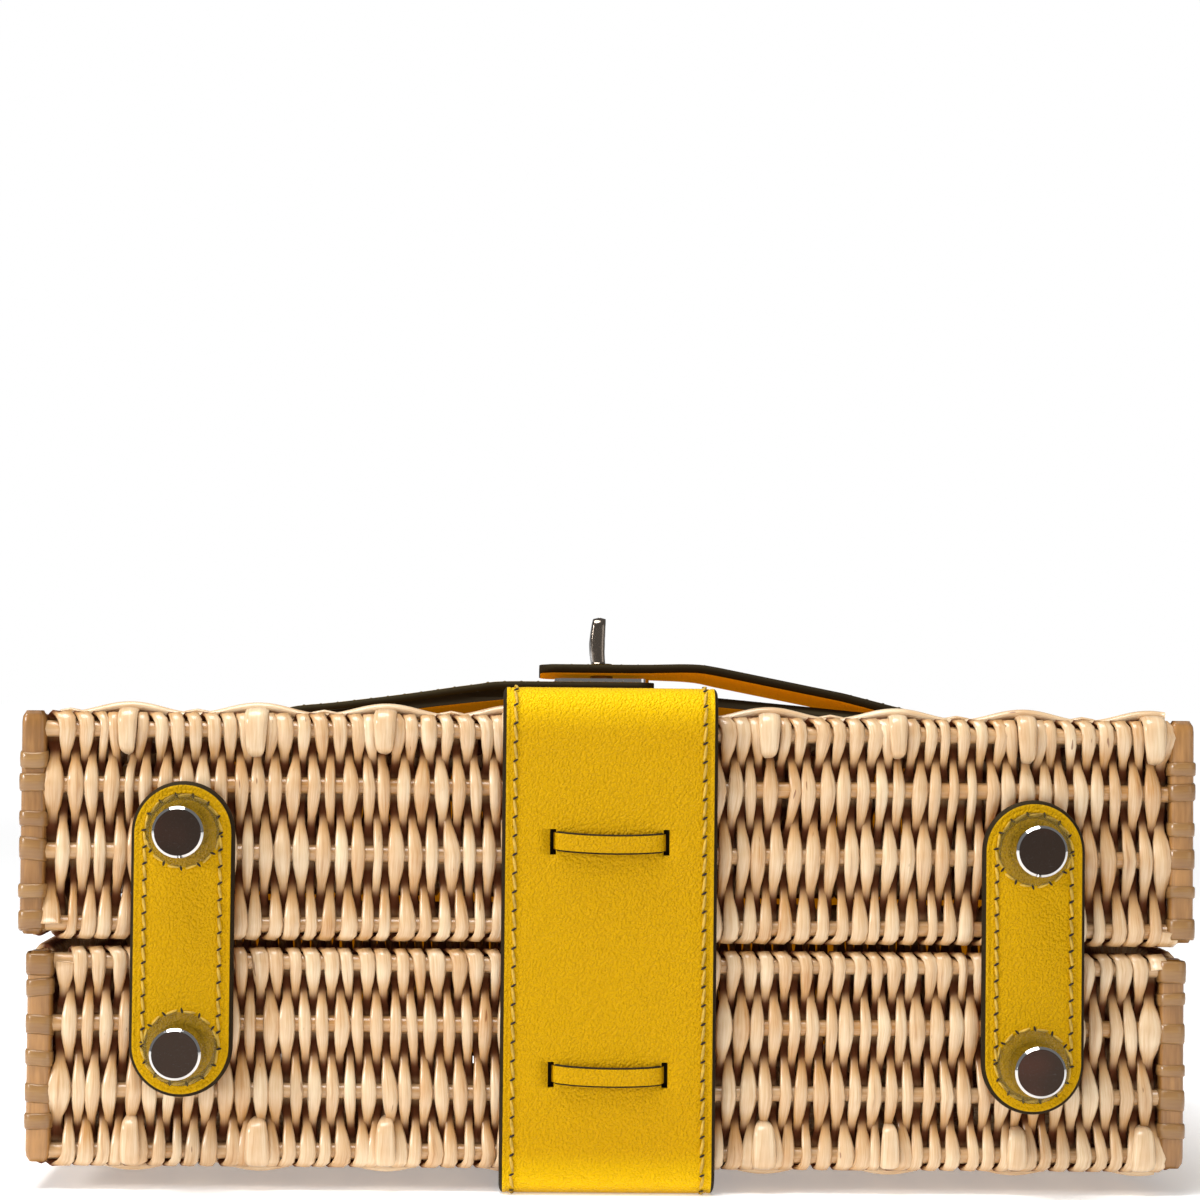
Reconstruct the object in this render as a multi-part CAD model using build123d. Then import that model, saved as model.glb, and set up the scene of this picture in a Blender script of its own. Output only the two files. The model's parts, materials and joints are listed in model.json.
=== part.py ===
"""Basket box bag: two woven trays hinged at the bottom end, dressed in leather.

Millimetres. The bag lies on its back: X is its width, +Y runs from its bottom end (the end with
the feet) to its top end (the end with the handle), and +Z runs from its back face to its front
face. The origin is on the surface it lies on, at the middle of the back band's resting face.
"""

import math
import os

from build123d import *

# ---------------------------------------------------------------- driving sizes
# Woven trays
tray_height = 120.0  # bottom end to top end, along Y
back_width = 197.0
front_width = 200.0
back_depth = 38.2
front_depth = 40.6  # at the bottom end; the front face falls away from there
front_slope = 3.5  # degrees that the front face falls towards the top end
wall = 6.0  # thickness of the woven wall
tray_round = 3.0  # radius round the edge of each big face
seam_gap = 1.0  # between the two rims
post_diameter = 4.6  # upright rods at the four corners of a tray
post_clearance = 0.2

# Leather
standoff = 0.5  # air between leather and weave
band_thickness = 2.5
band_width = 36.5
band_bend = 4.5  # outer radius where the band goes round an edge
back_band_end = 42.0  # Y where the band ends on the back face
front_band_run = 90.0  # how far the band runs up the front face
tab_width = 17.5
tab_length = 53.2
tab_spacing = 144.0
tab_lift = {-1: 1.0, 1: -1.0}  # how far each tab's middle lies above the seam: left, right
edge_soft = 0.6  # rounding of painted leather edges
fit_clearance = 0.05  # between a rivet, screw or cup and what it sits in
band_rivet_inset = 8.0  # from the band's end on the back face to its first rivet
band_rivet_step = 14.0
band_rivet_radius = 1.5
band_rivet_head_radius = 4.0
band_rivet_head_thickness = 0.8
band_rivet_burr = 1.0  # thickness of the burr inside the tray
rivet_clearance = 0.1

# Laces that tie the band down
lace_width = 3.4
lace_thickness = 1.0
lace_span = 19.6
lace_bow = 0.4  # how far the lace stands off the band
lace_offset_front = 17.9  # from the seam
lace_offset_back = 21.3
lace_clearance = 0.25
lace_tail = 2.0  # what shows of it inside the tray

# Feet
foot_radius = 4.3
foot_height = 8.0
foot_chamfer = 0.45
foot_offset = 18.4  # from the seam, along Z
shank_radius = 1.5
shank_clearance = 0.05
shank_hole_clearance = 0.1
washer_radius = 6.2
washer_thickness = 0.5
nut_radius = 5.0
nut_thickness = 1.5

# Flap, over the front face and the top end
flap_thickness = 2.2
flap_gap = 0.2  # between the turn lock's plate and the flap
flap_top_standoff = 1.5
flap_reach = 60.0  # distance of its lower edge from the bottom end
flap_half_top = 90.0
flap_half_low = 72.0
flap_corner = 10.0
flap_bend = 5.0
flap_rear_z = 9.0  # where it ends behind the top end
flap_lace_run = 106.0  # distance of its laces from the bottom end
flap_lace_x = 62.0

# Closing straps and turn lock
strap_width = 14.0
strap_thickness = 2.2
strap_layer_gap = 0.2
strap_slit_x = 60.5  # middle of the slit that the strap goes down through
strap_slit_length = 7.2
strap_slit_clearance = 0.5
strap_end = 68.0
strap_tip_left = 10.0
strap_tip_right = 12.0
strap_drop_start = 22.0  # where the upper strap starts to come down
strap_drop_end = 36.0
lock_run = 72.0  # distance of the turn lock from the bottom end
lock_plate_length = 24.0
lock_plate_width = 15.0
lock_plate_thickness = 0.8
lock_collar_radius = 3.4
lock_collar_clearance = 0.5
lock_stem_radius = 2.2
lock_running = 0.05
lock_flange_radius = 3.4
lock_flange_thickness = 0.7
lock_rivet_radius = 1.1
lock_rivet_spacing = 18.0
slot_length = 15.0
slot_width = 5.4
slot_plate_length = 18.0
slot_plate_width = 11.0
slot_plate_thickness = 0.8
blade_length = 13.0
blade_thickness = 2.7
blade_height = 9.0
blade_lift = 0.4  # above the upper strap

# Handle
handle_spacing = 68.0
handle_pivot_z = 56.0
handle_pivot_lift = 6.8  # pivot above the flap
handle_radius = 4.5
handle_drop = 47.5  # pivot to the grip's centreline
handle_bend = 24.0
ear_gap = 6.0
ear_thickness = 2.0
ear_radius = 3.4
pin_radius = 1.5
pin_clearance = 0.05
eye_side_clearance = 0.2
mount_plate_length = 18.0
mount_plate_width = 11.0
mount_plate_thickness = 1.2
mount_screw_radius = 1.0
ferrule_radius = 5.3
ferrule_length = 9.0
ferrule_start = 6.0  # below the pivot

# Magnetic catch between the flap and the back tray
magnet_radius = 5.0
magnet_thickness = 1.0
catch_spacing = 120.0
catch_z = 22.0
patch_radius = 8.0
patch_thickness = 1.2
magnet_clearance = 0.05

# ---------------------------------------------------------------- places worked out from them
half_height = tray_height / 2
back_face_z = band_thickness + standoff
seam_z = back_face_z + back_depth + seam_gap / 2
back_rim_z = seam_z - seam_gap / 2
front_rim_z = seam_z + seam_gap / 2
front_face_z = front_rim_z + front_depth
slope = math.radians(front_slope)
leather_y = -half_height - standoff - band_thickness  # outer face of band and tabs
flap_inner_y = half_height + flap_top_standoff
flap_outer_y = flap_inner_y + flap_thickness
pivot_y = flap_outer_y + handle_pivot_lift
cut = 400.0  # longer than anything that is cut
post_inset = tray_round + post_clearance  # how far a post stops short of the big face
band_rivet_run = [back_band_end - band_rivet_inset - step for step in (0, band_rivet_step)]

# Heights above the front face, in the stack under the turn lock
band_top = standoff + band_thickness
flap_stack = band_top + lock_plate_thickness + flap_gap
flap_top = flap_stack + flap_thickness
lower_strap = flap_top + strap_layer_gap
upper_strap = lower_strap + strap_thickness + strap_layer_gap
strap_under = flap_stack - strap_thickness - 0.3
blade_base = upper_strap + strap_thickness + blade_lift

# A frame on the front face: its origin is at the bottom edge, Y runs up the face, Z stands on it.
front_frame = Location((0, -half_height, front_face_z), (-front_slope, 0, 0))


def front_z(height, y):
    """Z of a surface that lies `height` above the front face, at this Y."""
    return front_face_z - (y + half_height) * math.tan(slope) + height / math.cos(slope)


def block(x_range, y_range, z_range):
    """A box between three pairs of coordinates."""
    size = [b - a for a, b in (x_range, y_range, z_range)]
    middle = [(a + b) / 2 for a, b in (x_range, y_range, z_range)]
    return Pos(*middle) * Box(*size)


def side_profile(points, half_width):
    """A closed outline of (y, z) points, drawn across the bag and extruded to both sides."""
    outline = Polyline(*[(0, y, z) for y, z in points], close=True)
    return extrude(make_face(outline), half_width, dir=(1, 0, 0), both=True)


def rod_y(radius, x, z, y_from, y_to):
    """A round bar along Y."""
    bar = Cylinder(radius, abs(y_to - y_from), rotation=(90, 0, 0))
    return Pos(x, (y_from + y_to) / 2, z) * bar


def rod_x(radius, y, z, x_from, x_to):
    """A round bar along X."""
    bar = Cylinder(radius, abs(x_to - x_from), rotation=(0, 90, 0))
    return Pos((x_from + x_to) / 2, y, z) * bar


def rod_z(radius, x, y, z_from, z_to):
    """A round bar along Z."""
    return Pos(x, y, (z_from + z_to) / 2) * Cylinder(radius, abs(z_to - z_from))


def edges_along(shape, axis, where):
    """The edges parallel to an axis whose middles pass a test."""
    return ShapeList([e for e in shape.edges().filter_by(axis) if where(e.center())])


# ---------------------------------------------------------------- woven trays
def tray_shell(half_width, rim, face_low, face_high):
    """A five-sided tray with its rim at z = rim and its big face from face_low to face_high."""
    up = 1 if face_low > rim else -1
    outer = side_profile(
        [(-half_height, rim), (half_height, rim), (half_height, face_high), (-half_height, face_low)],
        half_width,
    )
    rounded = [e for e in outer.edges() if up * (e.center().Z - rim) > 0.9 * up * (face_high - rim)]
    outer = fillet(ShapeList(rounded), tray_round)
    inner_end = half_height - wall
    fall = (face_high - face_low) / tray_height
    inset = wall * math.hypot(1, fall) * up
    inner = side_profile(
        [
            (-inner_end, rim - up),
            (inner_end, rim - up),
            (inner_end, face_high - wall * fall - inset),
            (-inner_end, face_low + wall * fall - inset),
        ],
        half_width - wall,
    )
    return outer - inner


def corner_places(half_width):
    """Centres of the four corner posts of a tray."""
    inset = post_diameter / 2
    return [(sx * (half_width - inset), sy * (half_height - inset)) for sx in (-1, 1) for sy in (-1, 1)]


def corner_notches(half_width, z_from, z_to):
    """What the corner posts take out of a tray."""
    reach = post_diameter / 2 + post_clearance
    notches = []
    for x, y in corner_places(half_width):
        far_x, far_y = math.copysign(cut, x), math.copysign(cut, y)
        near_x, near_y = x - math.copysign(reach, x), y - math.copysign(reach, y)
        notches.append(
            block(sorted((near_x, far_x)), sorted((near_y, far_y)), (z_from, z_to))
        )
    return notches


def foot_places(side):
    """(x, z) of the two feet on a tray: side is 1 on the front tray and -1 on the back one."""
    return [(sx * tab_spacing / 2, seam_z + tab_lift[sx] + side * foot_offset) for sx in (-1, 1)]


def lace_z(side):
    """Height of the lace that ties the band to a tray."""
    return seam_z + (lace_offset_front if side > 0 else -lace_offset_back)


def end_wall_holes(side):
    """Holes through the bottom end wall of a tray, for its feet and its lace."""
    y_range = (-half_height - 1, -half_height + wall + 1)
    holes = [rod_y(shank_radius + 2 * shank_hole_clearance, x, z, *y_range) for x, z in foot_places(side)]
    holes += lace_slots(side, y_range)
    return holes


def lace_slots(side, y_range):
    """The two slits that a band lace goes through."""
    reach = lace_thickness / 2 + lace_clearance
    tall = lace_width / 2 + lace_clearance * 2
    z = lace_z(side)
    slots = []
    for sx in (-1, 1):
        x = sx * (lace_span - lace_thickness) / 2
        slots.append(block((x - reach, x + reach), y_range, (z - tall, z + tall)))
    return slots


def make_back_tray():
    tray = tray_shell(back_width / 2, back_rim_z, back_face_z, back_face_z)
    for piece in corner_notches(back_width / 2, back_face_z + post_inset, back_rim_z + 1):
        tray -= piece
    for piece in end_wall_holes(-1) + band_rivet_bores():
        tray -= piece
    return tray


def make_front_tray():
    far = front_z(0, half_height)
    tray = tray_shell(front_width / 2, front_rim_z, front_face_z, far)
    for piece in corner_notches(front_width / 2, front_rim_z - 1, far - post_inset):
        tray -= piece
    for piece in end_wall_holes(1):
        tray -= piece
    for piece in flap_lace_slots((-wall - 2, 2)):
        tray -= front_frame * piece
    return tray


def make_posts(half_width, z_from, z_to):
    """The four corner posts of a tray, one solid each."""
    solids = [rod_z(post_diameter / 2, x, y, z_from, z_to) for x, y in corner_places(half_width)]
    return [chamfer(s.edges(), 0.6) for s in solids]


# ---------------------------------------------------------------- band and laces
def band_rivet_bores():
    return [rod_z(band_rivet_radius + rivet_clearance, 0, y, -1, back_face_z + wall + 1) for y in band_rivet_run]


def make_band_rivets():
    """Two flush rivets that hold the band to the back face, with burrs inside the tray."""
    inside = back_face_z + wall
    rivets = []
    for y in band_rivet_run:
        rivet = rod_z(band_rivet_head_radius, 0, y, 0, band_rivet_head_thickness)
        rivet += rod_z(band_rivet_radius, 0, y, 0, inside + band_rivet_burr)
        rivet += rod_z(band_rivet_head_radius, 0, y, inside, inside + band_rivet_burr)
        rivets.append(rivet)
    return rivets


def make_band():
    """The band: along the back face, up the bottom end and on along the front face."""
    inner_y = leather_y + band_thickness
    end_y = -half_height + front_band_run
    inner_bend = band_bend - band_thickness
    corners = [
        (leather_y, 0, band_bend),
        (leather_y, front_z(band_top, leather_y), band_bend),
        (inner_y, front_z(standoff, inner_y), inner_bend),
        (inner_y, band_thickness, inner_bend),
    ]
    outline = [(y, z) for y, z, _ in corners]
    outline[2:2] = [(end_y, front_z(band_top, end_y)), (end_y, front_z(standoff, end_y))]
    outline += [(back_band_end, band_thickness), (back_band_end, 0)]
    band = side_profile(outline, band_width / 2)
    for y, z, radius in corners:
        at = edges_along(band, Axis.X, lambda c: abs(c.Y - y) < 0.01 and abs(c.Z - z) < 0.01)
        band = fillet(at, radius)
    for tip_y in (back_band_end, end_y):
        ends = edges_along(band, Axis.Z, lambda c: abs(c.Y - tip_y) < 0.1)
        band = fillet(ends, flap_corner)
    for side in (-1, 1):
        for slot in lace_slots(side, (leather_y - 1, inner_y + 1)):
            band -= slot
    for y in band_rivet_run:
        band -= rod_z(band_rivet_radius + rivet_clearance, 0, y, -1, band_thickness + 1)
        band -= rod_z(band_rivet_head_radius + rivet_clearance, 0, y, -1, band_rivet_head_thickness)
    band -= front_frame * rod_z(lock_flange_radius + 0.4, 0, lock_run, -1, band_top + 1)
    for sx in (-1, 1):
        x = sx * lock_rivet_spacing / 2
        band -= front_frame * rod_z(lock_rivet_radius + fit_clearance, x, lock_run, -1, band_top + 1)
    return band


def lace_staple(tail_depth):
    """A lace as it lies across a strap: its run is along X, its outer face at z = 0 and its two
    tails go down to z = -tail_depth."""
    half = lace_span / 2
    width = lace_width / 2
    run = block((-half, half), (-width, width), (-lace_thickness, 0))
    for sx in (-1, 1):
        x_range = sorted((sx * half, sx * (half - lace_thickness)))
        run += block(x_range, (-width, width), (-tail_depth, 0))
    corners = edges_along(run, Axis.Y, lambda c: abs(c.Z) < 0.01)
    return fillet(corners, lace_thickness * 0.6)


def make_band_lace(side):
    """A lace through the band and the bottom end wall of a tray."""
    outer = leather_y - lace_bow - lace_thickness
    depth = -half_height + wall + lace_tail - outer
    return Pos(0, outer, lace_z(side)) * Rot(90, 0, 0) * lace_staple(depth)


# ---------------------------------------------------------------- hinge tabs and feet
def make_tab(sx):
    """A hinge tab: one leather piece with round ends, tied to a tray by the foot at each end."""
    x, middle = sx * tab_spacing / 2, seam_z + tab_lift[sx]
    radius = tab_width / 2
    straight = tab_length / 2 - radius
    y_range = (leather_y, leather_y + band_thickness)
    tab = block((x - radius, x + radius), y_range, (middle - straight, middle + straight))
    for side in (-1, 1):
        tab += rod_y(radius, x, middle + side * straight, *y_range)
    rim = [e for e in tab.edges() if abs(e.center().Y - leather_y) < 0.01]
    tab = fillet(ShapeList(rim), edge_soft)
    for side in (-1, 1):
        z = middle + side * foot_offset
        tab -= rod_y(shank_radius + shank_hole_clearance, x, z, leather_y - 1, y_range[1] + 1)
    return tab


def make_washer(x, z):
    """A clear disc between the tab and the foot."""
    disc = rod_y(washer_radius, x, z, leather_y - washer_thickness, leather_y)
    return disc - rod_y(shank_radius + shank_hole_clearance, x, z, leather_y - 2, leather_y + 2)


def make_foot(x, z):
    """A foot stud with its threaded shank."""
    base = leather_y - washer_thickness
    end = -half_height + wall + nut_thickness
    head = rod_y(foot_radius, x, z, base - foot_height, base)
    tip = ShapeList([e for e in head.edges() if e.center().Y < base - foot_height + 0.01])
    return chamfer(tip, foot_chamfer) + rod_y(shank_radius, x, z, base, end)


def make_nut(x, z):
    """The round nut inside the tray that holds a foot."""
    start = -half_height + wall
    disc = rod_y(nut_radius, x, z, start, start + nut_thickness)
    disc = chamfer(ShapeList([e for e in disc.edges() if e.center().Y > start + 0.1]), 0.4)
    return disc - rod_y(shank_radius + shank_clearance, x, z, start - 1, start + nut_thickness + 1)


# ---------------------------------------------------------------- flap
def flap_lace_slots(z_range):
    """Slits for the two laces that tie the flap to the front face, in the front frame."""
    reach = lace_thickness / 2 + lace_clearance
    wide = lace_width / 2 + lace_clearance * 2
    slots = []
    for sx in (-1, 1):
        for end in (-1, 1):
            x = sx * flap_lace_x + end * (lace_span - lace_thickness) / 2
            y_range = (flap_lace_run - wide, flap_lace_run + wide)
            slots.append(block((x - reach, x + reach), y_range, z_range))
    return slots


def make_flap_lace(sx):
    top = flap_top + lace_bow + lace_thickness
    depth = top + wall + 1.0
    return front_frame * Pos(sx * flap_lace_x, flap_lace_run, top) * lace_staple(depth)


def make_flap():
    """The flap: one sheet over the front face, round the top edge and down over the top end."""
    low_y = -half_height + flap_reach
    outer_corner = (flap_outer_y, front_z(flap_top, flap_outer_y))
    inner_corner = (flap_inner_y, front_z(flap_stack, flap_inner_y))
    flap = side_profile(
        [
            (low_y, front_z(flap_stack, low_y)),
            (low_y, front_z(flap_top, low_y)),
            outer_corner,
            (flap_outer_y, flap_rear_z),
            (flap_inner_y, flap_rear_z),
            inner_corner,
        ],
        flap_half_top,
    )
    for (y, z), radius in ((outer_corner, flap_bend), (inner_corner, flap_bend - flap_thickness)):
        at = edges_along(flap, Axis.X, lambda c: abs(c.Y - y) < 0.01 and abs(c.Z - z) < 0.01)
        flap = fillet(at, radius)
    shoulder = half_height - 14.0
    outline = make_face(
        FilletPolyline(
            (-flap_half_top, cut / 2),
            (-flap_half_top, shoulder),
            (-flap_half_low, low_y),
            (flap_half_low, low_y),
            (flap_half_top, shoulder),
            (flap_half_top, cut / 2),
            radius=flap_corner,
            close=True,
        )
    )
    flap &= extrude(outline, cut)
    rear = edges_along(flap, Axis.Y, lambda c: abs(c.Z - flap_rear_z) < 0.01)
    flap = fillet(rear, flap_corner)
    for slot in flap_lace_slots((flap_stack - 1, flap_top + 1)):
        flap -= front_frame * slot
    half = strap_width / 2 + strap_slit_clearance
    for sx in (-1, 1):
        x = sx * strap_slit_x
        x_range = (x - strap_slit_length / 2, x + strap_slit_length / 2)
        y_range = (lock_run - half, lock_run + half)
        flap -= front_frame * block(x_range, y_range, (flap_stack - 1, flap_top + 1))
        x = sx * catch_spacing / 2
        deep = flap_inner_y + magnet_thickness + magnet_clearance
        flap -= rod_y(magnet_radius + magnet_clearance, x, catch_z, flap_inner_y - 1, deep)
        for x, z in mount_screw_places(sx):
            flap -= rod_y(mount_screw_radius + fit_clearance, x, z, flap_inner_y - 1, flap_outer_y + 1)
    hole = lock_collar_radius + lock_collar_clearance
    flap -= front_frame * rod_z(hole, 0, lock_run, flap_stack - 1, flap_top + 1)
    return flap


def make_magnet(sx):
    """A magnet let into the flap."""
    x = sx * catch_spacing / 2
    return rod_y(magnet_radius, x, catch_z, flap_inner_y, flap_inner_y + magnet_thickness)


def make_patch(sx):
    """A leather patch on the back tray's top end, with a pocket for the keeper."""
    x = sx * catch_spacing / 2
    patch = rod_y(patch_radius, x, catch_z, half_height, half_height + patch_thickness)
    pocket = half_height + patch_thickness - magnet_thickness
    return patch - rod_y(magnet_radius + magnet_clearance, x, catch_z, pocket, cut)


def make_keeper(sx):
    """The steel disc in the patch that the magnet holds."""
    x = sx * catch_spacing / 2
    face = half_height + patch_thickness
    return rod_y(magnet_radius, x, catch_z, face - magnet_thickness, face)


# ---------------------------------------------------------------- straps and turn lock
def stadium(length, width, z_from, z_to):
    """A slot-shaped block along X about the turn lock, in the front frame."""
    flat = (length - width) / 2
    y_range = (lock_run - width / 2, lock_run + width / 2)
    shape = block((-flat, flat), y_range, (z_from, z_to))
    for sx in (-1, 1):
        shape += rod_z(width / 2, sx * flat, lock_run, z_from, z_to)
    return shape


def strap_line(level, tip):
    """(x, z) points along the underside of a strap that leaves to +X, from its tip."""
    points = [(-tip, level)]
    if level > lower_strap:
        points += [(strap_drop_start, level), (strap_drop_end, lower_strap)]
    down = lower_strap - strap_under
    first = strap_slit_x - down / 2 - 0.2
    points += [(first, lower_strap), (first + down + 0.4, strap_under), (strap_end, strap_under)]
    return points


def make_strap(sx, level, tip):
    """A closing strap: its slotted tip lies over the turn lock, and its root is sewn under the
    flap."""
    line = strap_line(level, tip)
    outline = Polyline(
        *[(x, lock_run - strap_width / 2, z) for x, z in line],
        *[(x, lock_run - strap_width / 2, z + strap_thickness) for x, z in reversed(line)],
        close=True,
    )
    strap = extrude(make_face(outline), strap_width, dir=(0, 1, 0))
    corners = edges_along(strap, Axis.Z, lambda c: c.X < -tip + 0.01)
    strap = fillet(corners, 3.0)
    top = level + strap_thickness
    strap -= stadium(slot_length, slot_width, level - 1, top + 1)
    grow = 2 * magnet_clearance
    pocket = Pos(0, lock_run, top) * Box(
        slot_plate_length + grow, slot_plate_width + grow, 2 * slot_plate_thickness
    )
    strap -= fillet(pocket.edges().filter_by(Axis.Z), 2.0)
    if sx < 0:
        strap = mirror(strap, about=Plane.YZ)
    return front_frame * strap


def make_slot_plate(level):
    """The metal plate let into a strap's tip, round its slot."""
    top = level + strap_thickness
    plate = Pos(0, lock_run, top - slot_plate_thickness / 2) * Box(
        slot_plate_length, slot_plate_width, slot_plate_thickness
    )
    plate = fillet(plate.edges().filter_by(Axis.Z), 2.0)
    return front_frame * (plate - stadium(slot_length, slot_width, level - 1, top + 1))


def make_lock_base():
    """The turn lock's plate and collar, on the end of the band."""
    top = band_top + lock_plate_thickness
    plate = Pos(0, lock_run, (band_top + top) / 2) * Box(
        lock_plate_length, lock_plate_width, lock_plate_thickness
    )
    plate = fillet(plate.edges().filter_by(Axis.Z), 3.0)
    plate += rod_z(lock_collar_radius, 0, lock_run, band_top, flap_top)
    plate -= rod_z(lock_stem_radius + lock_running, 0, lock_run, 0, flap_top + 1)
    for sx in (-1, 1):
        x = sx * lock_rivet_spacing / 2
        plate -= rod_z(lock_rivet_radius + fit_clearance, x, lock_run, 0, top + 1)
    return front_frame * plate


def make_lock_rivets():
    """Two flush rivets that hold the turn lock's plate to the band."""
    top = band_top + lock_plate_thickness
    places = [sx * lock_rivet_spacing / 2 for sx in (-1, 1)]
    return [front_frame * rod_z(lock_rivet_radius, x, lock_run, standoff, top) for x in places]


def make_lock_knob():
    """The turning blade, its stem and the flange that keeps it in the base."""
    flange_top = band_top - 0.1
    knob = rod_z(lock_flange_radius, 0, lock_run, flange_top - lock_flange_thickness, flange_top)
    knob += rod_z(lock_stem_radius, 0, lock_run, flange_top - 0.1, blade_base + 1)
    blade = Pos(0, lock_run, blade_base + blade_height / 2) * Box(
        blade_thickness, blade_length, blade_height
    )
    ends = blade.edges().filter_by(Axis.X)
    blade = fillet(ends.sort_by(Axis.Z)[-2:], 3.5)
    blade = fillet(blade.edges().filter_by(Axis.X).sort_by(Axis.Z)[:2], 1.5)
    blade = chamfer(ShapeList([e for e in blade.edges() if abs(e.center().X) > 1.3]), 0.5)
    return front_frame * (knob + blade)


# ---------------------------------------------------------------- handle
def mount_screw_places(sx):
    """(x, z) of the two screws of a handle mount."""
    x = sx * handle_spacing / 2
    step = mount_plate_length / 2 - 2.2
    return [(x + end * step, handle_pivot_z) for end in (-1, 1)]


def make_handle_mount(sx):
    """A plate on the flap with two ears for the handle's pin."""
    x = sx * handle_spacing / 2
    half_z = mount_plate_width / 2
    half_x = mount_plate_length / 2
    face = flap_outer_y + mount_plate_thickness
    plate = block(
        (x - half_x, x + half_x), (flap_outer_y, face), (handle_pivot_z - half_z, handle_pivot_z + half_z)
    )
    mount = fillet(plate.edges().filter_by(Axis.Y), 3.0)
    for end in (-1, 1):
        x_in = x + end * ear_gap / 2
        x_out = x_in + end * ear_thickness
        x_range = sorted((x_in, x_out))
        z_range = (handle_pivot_z - ear_radius, handle_pivot_z + ear_radius)
        mount += block(x_range, (face - 0.2, pivot_y), z_range)
        mount += rod_x(ear_radius, pivot_y, handle_pivot_z, *x_range)
    reach = ear_gap / 2 + ear_thickness + 1
    mount -= rod_x(pin_radius + pin_clearance, pivot_y, handle_pivot_z, x - reach, x + reach)
    for screw_x, z in mount_screw_places(sx):
        mount -= rod_y(mount_screw_radius + fit_clearance, screw_x, z, flap_outer_y - 1, face + 1)
    return mount


def make_mount_screws():
    """The four screws of the two handle mounts."""
    top = flap_outer_y + mount_plate_thickness
    solids = []
    for sx in (-1, 1):
        for x, z in mount_screw_places(sx):
            screw = rod_y(mount_screw_radius, x, z, flap_inner_y, top)
            head = rod_y(mount_screw_radius * 1.7, x, z, top, top + 0.7)
            solids.append(screw + head)
    return solids


def make_handle_pin(sx):
    """A pin with a low head at each end, through a mount's ears."""
    x = sx * handle_spacing / 2
    reach = ear_gap / 2 + ear_thickness
    pin = rod_x(pin_radius, pivot_y, handle_pivot_z, x - reach - 0.6, x + reach + 0.6)
    for end in (-1, 1):
        x_head = x + end * (reach + 0.05)
        pin += rod_x(pin_radius * 1.5, pivot_y, handle_pivot_z, x_head, x_head + end * 0.6)
    return pin


def make_handle_eye(sx):
    """The metal end of the handle: an eye on the pin and a cup round the grip."""
    x = sx * handle_spacing / 2
    half = ear_gap / 2 - eye_side_clearance
    cup_top = handle_pivot_z - ferrule_start
    eye = rod_x(ear_radius, pivot_y, handle_pivot_z, x - half, x + half)
    neck = (pivot_y - ear_radius + 0.6, pivot_y + ear_radius - 0.6)
    eye += block((x - half, x + half), neck, (cup_top - 0.5, handle_pivot_z))
    cup = rod_z(ferrule_radius, x, pivot_y, cup_top - ferrule_length, cup_top)
    eye += fillet(cup.edges().sort_by(Axis.Z)[-1], 1.2)
    grip_hole = handle_radius + fit_clearance
    eye -= rod_z(grip_hole, x, pivot_y, cup_top - ferrule_length - 1, cup_top - 1.2)
    return eye - rod_x(pin_radius + pin_clearance, pivot_y, handle_pivot_z, x - half - 1, x + half + 1)


def make_grip():
    """The rolled leather grip, hanging from its two ends."""
    top = handle_pivot_z - ferrule_start - 1.4
    low = handle_pivot_z - handle_drop
    half = handle_spacing / 2
    path = FilletPolyline(
        (-half, pivot_y, top),
        (-half, pivot_y, low),
        (half, pivot_y, low),
        (half, pivot_y, top),
        radius=handle_bend,
    )
    start = Plane(origin=(-half, pivot_y, top), z_dir=(0, 0, -1))
    return sweep(start * Circle(handle_radius), path=path)


# ---------------------------------------------------------------- write every piece
def all_pieces():
    """Node name to shape, or to a list of separate solids."""
    sides = ((-1, "left"), (1, "right"))
    far = front_z(0, half_height)
    pieces = {
        "back_tray": make_back_tray(),
        "back_corner_posts": make_posts(back_width / 2, back_face_z + post_inset, back_rim_z),
        "front_tray": make_front_tray(),
        "front_corner_posts": make_posts(front_width / 2, front_rim_z, far - post_inset),
        "center_band": make_band(),
        "band_rivets": make_band_rivets(),
        "band_lace_back": make_band_lace(-1),
        "band_lace_front": make_band_lace(1),
        "flap": make_flap(),
        "strap_left": make_strap(-1, lower_strap, strap_tip_left),
        "strap_right": make_strap(1, upper_strap, strap_tip_right),
        "slot_plate_left": make_slot_plate(lower_strap),
        "slot_plate_right": make_slot_plate(upper_strap),
        "turn_lock_base": make_lock_base(),
        "turn_lock_rivets": make_lock_rivets(),
        "turn_lock_knob": make_lock_knob(),
        "handle_grip": make_grip(),
        "handle_mount_screws": make_mount_screws(),
    }
    for sx, hand in sides:
        pieces[f"flap_lace_{hand}"] = make_flap_lace(sx)
        pieces[f"catch_magnet_{hand}"] = make_magnet(sx)
        pieces[f"catch_patch_{hand}"] = make_patch(sx)
        pieces[f"catch_keeper_{hand}"] = make_keeper(sx)
        pieces[f"handle_mount_{hand}"] = make_handle_mount(sx)
        pieces[f"handle_pin_{hand}"] = make_handle_pin(sx)
        pieces[f"handle_eye_{hand}"] = make_handle_eye(sx)
        pieces[f"hinge_tab_{hand}"] = make_tab(sx)
        for side, half_name in ((-1, "back"), (1, "front")):
            x, z = foot_places(side)[0 if sx < 0 else 1]
            pieces[f"foot_{hand}_{half_name}"] = make_foot(x, z)
            pieces[f"foot_washer_{hand}_{half_name}"] = make_washer(x, z)
            pieces[f"foot_nut_{hand}_{half_name}"] = make_nut(x, z)
    return pieces


os.makedirs("parts", exist_ok=True)
for name, made in all_pieces().items():
    solids = made if isinstance(made, list) else [made]
    solids = [solid for shape in solids for solid in shape.solids()]
    shape = solids[0] if len(solids) == 1 else Compound(children=solids)
    export_step(shape, f"parts/{name}.step")
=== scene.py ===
import json
import math

import bpy
import numpy as np
from bpy.props import FloatProperty, FloatVectorProperty, IntProperty, PointerProperty
from mathutils import Euler, Matrix, Vector


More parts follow.
